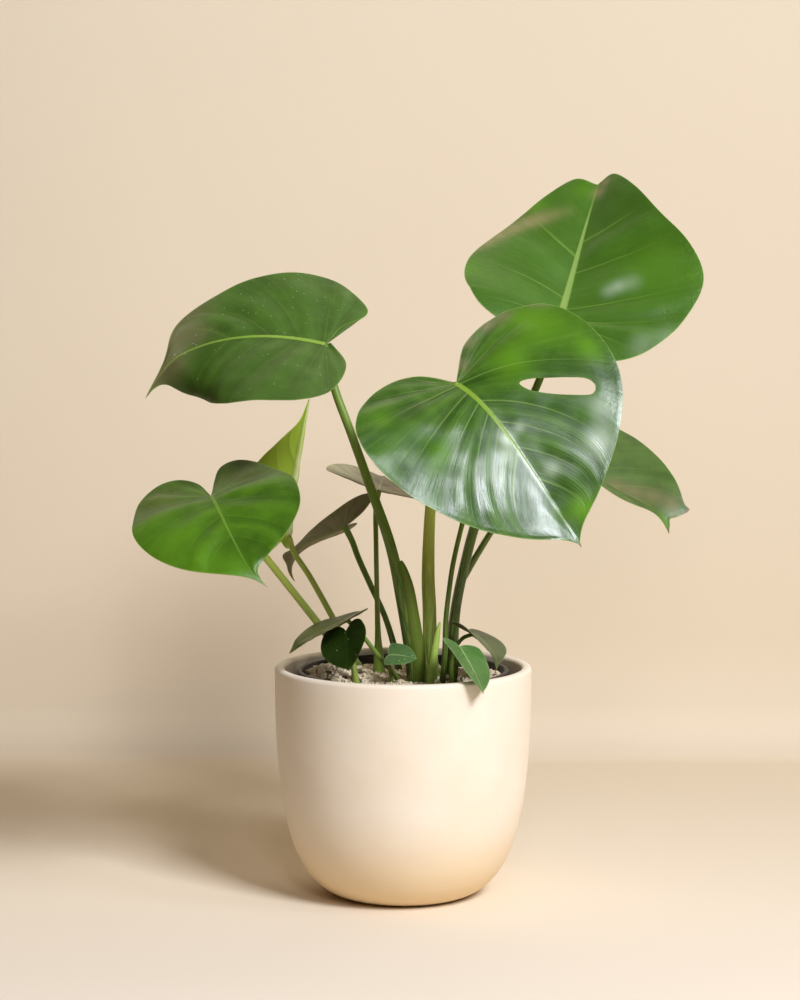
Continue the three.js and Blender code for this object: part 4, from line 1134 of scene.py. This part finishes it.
# Planter
inner_r = PLANTER_RIM_R - PLANTER_WALL
lip_z = PLANTER_H - LIP_ROUND
belly = [[PLANTER_FOOT_R, 0], [76.2, 7.5], [82.4, 66.1], [PLANTER_RIM_R, lip_z]]
planter_profile = [[1, 0], [12, 0], [26, 0]] + bezier(belly, 46).tolist()
planter_profile += rounded((PLANTER_RIM_R - LIP_ROUND, lip_z), LIP_ROUND, 15, 90)
planter_profile += rounded((inner_r + LIP_ROUND, lip_z), LIP_ROUND, 90, 165)
planter_profile += [[inner_r, z] for z in (lip_z, 135, 118, 100, 85, 70)]
planter_profile += [[inner_r - 3, 42], [inner_r - 9, 24], [58, 14.5]]
planter_profile += [[r, PLANTER_FLOOR_Z] for r in (52, 30, 1)]
planter = turned("planter_cup", planter_profile, 144)
finish_piece(planter, matt_stoneware(), ["planter"])


# Growing pot

def grow_radius(z):
    return GROW_BASE_R + (GROW_RIM_R - GROW_BASE_R) * (z - GROW_FOOT_Z) / (GROW_TOP_Z - GROW_FOOT_Z)


floor_z = GROW_FOOT_Z + GROW_FLOOR
roll_z = GROW_TOP_Z - ROLL_H
grow_profile = [[r, GROW_FOOT_Z] for r in (1, 30, GROW_BASE_R - 1)] + [[GROW_BASE_R, GROW_FOOT_Z + 1]]
grow_profile += [[grow_radius(z), z] for z in (40, 70, 100, 125, roll_z - 0.3)]
grow_profile += [[GROW_RIM_R + ROLL_OUT - 0.4, roll_z + 0.4]]
grow_profile += rounded((GROW_RIM_R + ROLL_OUT - 1, GROW_TOP_Z - 1), 1, 0, 90, 5)
grow_profile += rounded((grow_radius(GROW_TOP_Z) - GROW_WALL + 0.7, GROW_TOP_Z - 0.7), 0.7, 90, 180, 4)
grow_profile += [[grow_radius(z) - GROW_WALL, z] for z in (138, 125, 90, 50, floor_z)]
grow_profile += [[30, floor_z], [1, floor_z]]
growing_pot = turned("growing_tub", grow_profile, 120)
finish_piece(growing_pot, moulded_polypropylene(), ["growing_pot"])

# Soil stays as the solid is
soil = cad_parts["soil"]
soil.data.materials.clear()
soil.data.materials.append(potting_soil())


# Topping: a dark bed, painted shade for the gaps between the chips, with crushed chips laid over it

bed_r = grow_radius(TOPPING_EDGE_Z) - GROW_WALL - TOPPING_GAP
bed_foot_r = grow_radius(TOPPING_FOOT_Z) - GROW_WALL - TOPPING_GAP


def heaps(x, y):
    """How much higher than the bed the chips are piled, in mm"""
    piled = [h * np.exp(-((x - at_x) ** 2 + (y - at_y) ** 2) / spread) for at_x, at_y, h, spread in HEAPS]
    return sum(piled) + HEAP_BASE


def topping_z(r):
    return TOPPING_EDGE_Z + TOPPING_HEAP * (1 - np.minimum(r / bed_r, 1) ** 2)


bed_profile = [[1, TOPPING_FOOT_Z], [30, TOPPING_FOOT_Z], [bed_foot_r, TOPPING_FOOT_Z]]
bed_profile += [[r, float(topping_z(r)) - 1] for r in np.linspace(bed_r, 1, 30)]
bed = turned("pumice_bed", bed_profile, 96)
spots = places(bed.data)
heaped = heaps(spots[:, 0] / MM, spots[:, 1] / MM) * MM
spots[:, 2] += np.where(spots[:, 2] > (TOPPING_FOOT_Z + 3) * MM, heaped, 0)
place_all(bed.data, spots)
keep_attribute(bed.data, "chip", np.tile([0.9, 0.0, 0.0], (len(bed.data.vertices), 1)))
# The bed's dark beige is painted shade in the gaps between the chips
finish_piece(bed, crushed_pumice("pumice_bed_painted_shade", "#85755b", "#4f4434"), [])


def chip_form():
    """One crushed chip of radius 1: a rough ball with flats struck off it, as corners and faces"""
    clear_selection()
    bpy.ops.mesh.primitive_ico_sphere_add(subdivisions=1, radius=1.08, location=(0, 0, 0))
    piece = bpy.context.object
    bpy.ops.object.mode_set(mode="EDIT")
    for _ in range(CHIP_FLATS):
        bpy.ops.mesh.select_all(action="SELECT")
        way = Vector(chance.normal(size=3)).normalized()
        flat = way * float(chance.uniform(0.45, 0.8))
        bpy.ops.mesh.bisect(plane_co=flat, plane_no=way, use_fill=True, clear_outer=True)
    bpy.ops.mesh.select_all(action="SELECT")
    bpy.ops.mesh.dissolve_limited(angle_limit=math.radians(12))
    bpy.ops.mesh.select_all(action="SELECT")
    bpy.ops.mesh.quads_convert_to_tris()
    face_out()
    bpy.ops.object.mode_set(mode="OBJECT")
    faces = np.array([f.vertices[:] for f in piece.data.polygons])
    points = places(piece.data)
    bpy.data.objects.remove(piece)
    return points, faces


def lay_chips(stalks):
    """Chips laid in a sunflower spiral over the bed, clear of the stalks, as one mesh"""
    forms = [chip_form() for _ in range(CHIP_FORMS)]
    all_points, all_faces, all_tones = [], [], []
    total = 0
    for k in range(CHIP_COUNT):
        r = (bed_r - 1.6) * math.sqrt((k + 0.5) / CHIP_COUNT)
        angle = k * GOLDEN_ANGLE + chance.normal() * 0.2
        size = float(chance.choice(CHIP_SIZES, p=CHIP_SHARES) * chance.uniform(0.8, 1.15))
        x, y = r * math.cos(angle), r * math.sin(angle)
        z = float(topping_z(r) + heaps(x, y)) - 0.55 * size + chance.uniform(-0.5, 1.0)
        clear = all(math.hypot(x - s[0], y - s[1]) > s[2] + 0.5 * size for s in stalks)
        turn = Euler(chance.uniform(0, 6.28, 3)).to_matrix()
        stretch = chance.uniform(0.7, 1.25, 3)
        tone = chance.beta(1.3, 2.6)
        points, faces = forms[int(chance.integers(len(forms)))]
        if not clear or r + size > bed_r - 0.1:
            continue
        all_points.append(((points * stretch * size) @ np.array(turn).T + [x, y, z]) * MM)
        all_faces.append(faces + total)
        all_tones.append(np.tile([tone, 0, 0], (len(points), 1)))
        total += len(points)
    mesh = bpy.data.meshes.new("pumice_chips")
    mesh.from_pydata(np.vstack(all_points).tolist(), [], np.vstack(all_faces).tolist())
    piece = bpy.data.objects.new("pumice_chips", mesh)
    bpy.context.scene.collection.objects.link(piece)
    keep_attribute(mesh, "chip", np.vstack(all_tones))
    return piece


def stalk_spots():
    """Where the stalks come up through the topping: x, y, radius"""
    spots = []
    for points in [leaf["stalk"] for leaf in LEAVES.values()] + [STALK_EDGE, SPEAR, EMPTY_SHEATH]:
        path, _ = smooth_path(points, 80)
        at = path[np.abs(path[:, 2] - TOPPING_EDGE_Z - 3).argmin()]
        spots.append((at[0], at[1], at[3]))
    return spots


chips = lay_chips(stalk_spots())
finish_piece(chips, crushed_pumice("crushed_pumice", "#f4e6ca", "#b59c70"), ["topping"], angle=25)

# Leaves and stalks
for key, leaf in LEAVES.items():
    slot, colours, skin = FINISHES[key]
    leaf_skin = leaf_blade(f"leaf_{key}_skin", *colours, **skin)
    finish_piece(blade(f"blade_{key}", leaf), leaf_skin, [f"leaf_{key}"])
    thick = leaf["stalk"][1][3]
    stem = stalk_piece(f"petiole_{key}", leaf["stalk"], groove=0.22 if thick > 2.5 else 0.1, joint=0.15)
    finish_piece(stem, STALK_FINISHES.get(key, stalk_green), [f"stalk_{key}"])
sheath_edge = leaf_stalk("dry_edged_sheath", "#274602", "#5c7a1c", "#7d6a35")
finish_piece(stalk_piece("rolled_sheath_edge", STALK_EDGE), sheath_edge, ["stalk_top_left"])
finish_piece(stalk_piece("rolled_spear", SPEAR), stalk_green, ["spear"])
dry_green = leaf_stalk("leaf_sheath_green", "#7fa63a", "#9ab84f", "#b4c96a", 0.5)
finish_piece(stalk_piece("dry_sheath", EMPTY_SHEATH), dry_green, ["empty_sheath"])

# Stage: one sheet of paper that runs from the floor up behind the plant, in metres
PAPER_W = 1.8
PAPER_RUN = 3.3
PAPER_FRONT_Y = -1.0
PAPER_BEND_Y = 0.5
PAPER_BEND_R = 0.006
paper = flat_grid("background_paper", 2, 60)
spots = places(paper.data)
run = (spots[:, 1] + 0.5) * PAPER_RUN + PAPER_FRONT_Y
turn = np.clip((run - PAPER_BEND_Y) / PAPER_BEND_R, 0, math.pi / 2)
spots[:, 0] = spots[:, 0] * PAPER_W + 0.2
spots[:, 1] = np.minimum(run, PAPER_BEND_Y) + PAPER_BEND_R * np.sin(turn)
rest = np.maximum(run - PAPER_BEND_Y - PAPER_BEND_R * math.pi / 2, 0)
spots[:, 2] = PAPER_BEND_R * (1 - np.cos(turn)) + rest
place_all(paper.data, spots)
work_on(paper)
bpy.ops.object.shade_smooth()
paper.data.materials.append(paper_with_painted_light())


def soft_box(name, spot, aim, size, power):
    """A lamp with a soft rectangular front, at a spot in metres and turned to its aim"""
    data = bpy.data.lights.new(name, "AREA")
    data.shape = "RECTANGLE"
    data.size, data.size_y = size
    data.energy = power
    data.color = linear("#f3f6ff")[:3]
    lamp = bpy.data.objects.new(name, data)
    bpy.context.scene.collection.objects.link(lamp)
    lamp.location = spot
    lamp.rotation_euler = (Vector(aim) - Vector(spot)).to_track_quat("-Z", "Y").to_euler()


soft_box("key_box", (1.40, -1.98, 2.16), (0, 0, 0.22), (0.9, 1.05), 117)
soft_box("side_box", (1.28, -0.66, 1.63), (0.03, -0.05, 0.28), (0.28, 0.28), 4.5)
soft_box("front_box", (0.07, -1.5, 1.2), (0.06, -0.05, 0.28), (0.24, 0.4), 3.4)

world = bpy.data.worlds.new("studio")
bpy.context.scene.world = world
world.use_nodes = True
room = world.node_tree.nodes["Background"]
room.inputs["Color"].default_value = linear("#ffb668")
room.inputs["Strength"].default_value = 0.06

# Camera at the height and distance from which the photo was taken
CAMERA_AT = (-0.002, -1.6, 0.394)
CAMERA_AIM = (-0.002, 0, 0.2545)
LENS_MM = 90.4
lens = bpy.data.cameras.new("camera")
lens.lens = LENS_MM
lens.sensor_width = 36
lens.clip_end = 50
camera = bpy.data.objects.new("camera", lens)
bpy.context.scene.collection.objects.link(camera)
camera.location = CAMERA_AT
camera.rotation_euler = (Vector(CAMERA_AIM) - camera.location).to_track_quat("-Z", "Y").to_euler()
bpy.context.scene.camera = camera
bpy.context.scene.view_settings.view_transform = "Standard"
bpy.context.scene.view_settings.look = "None"
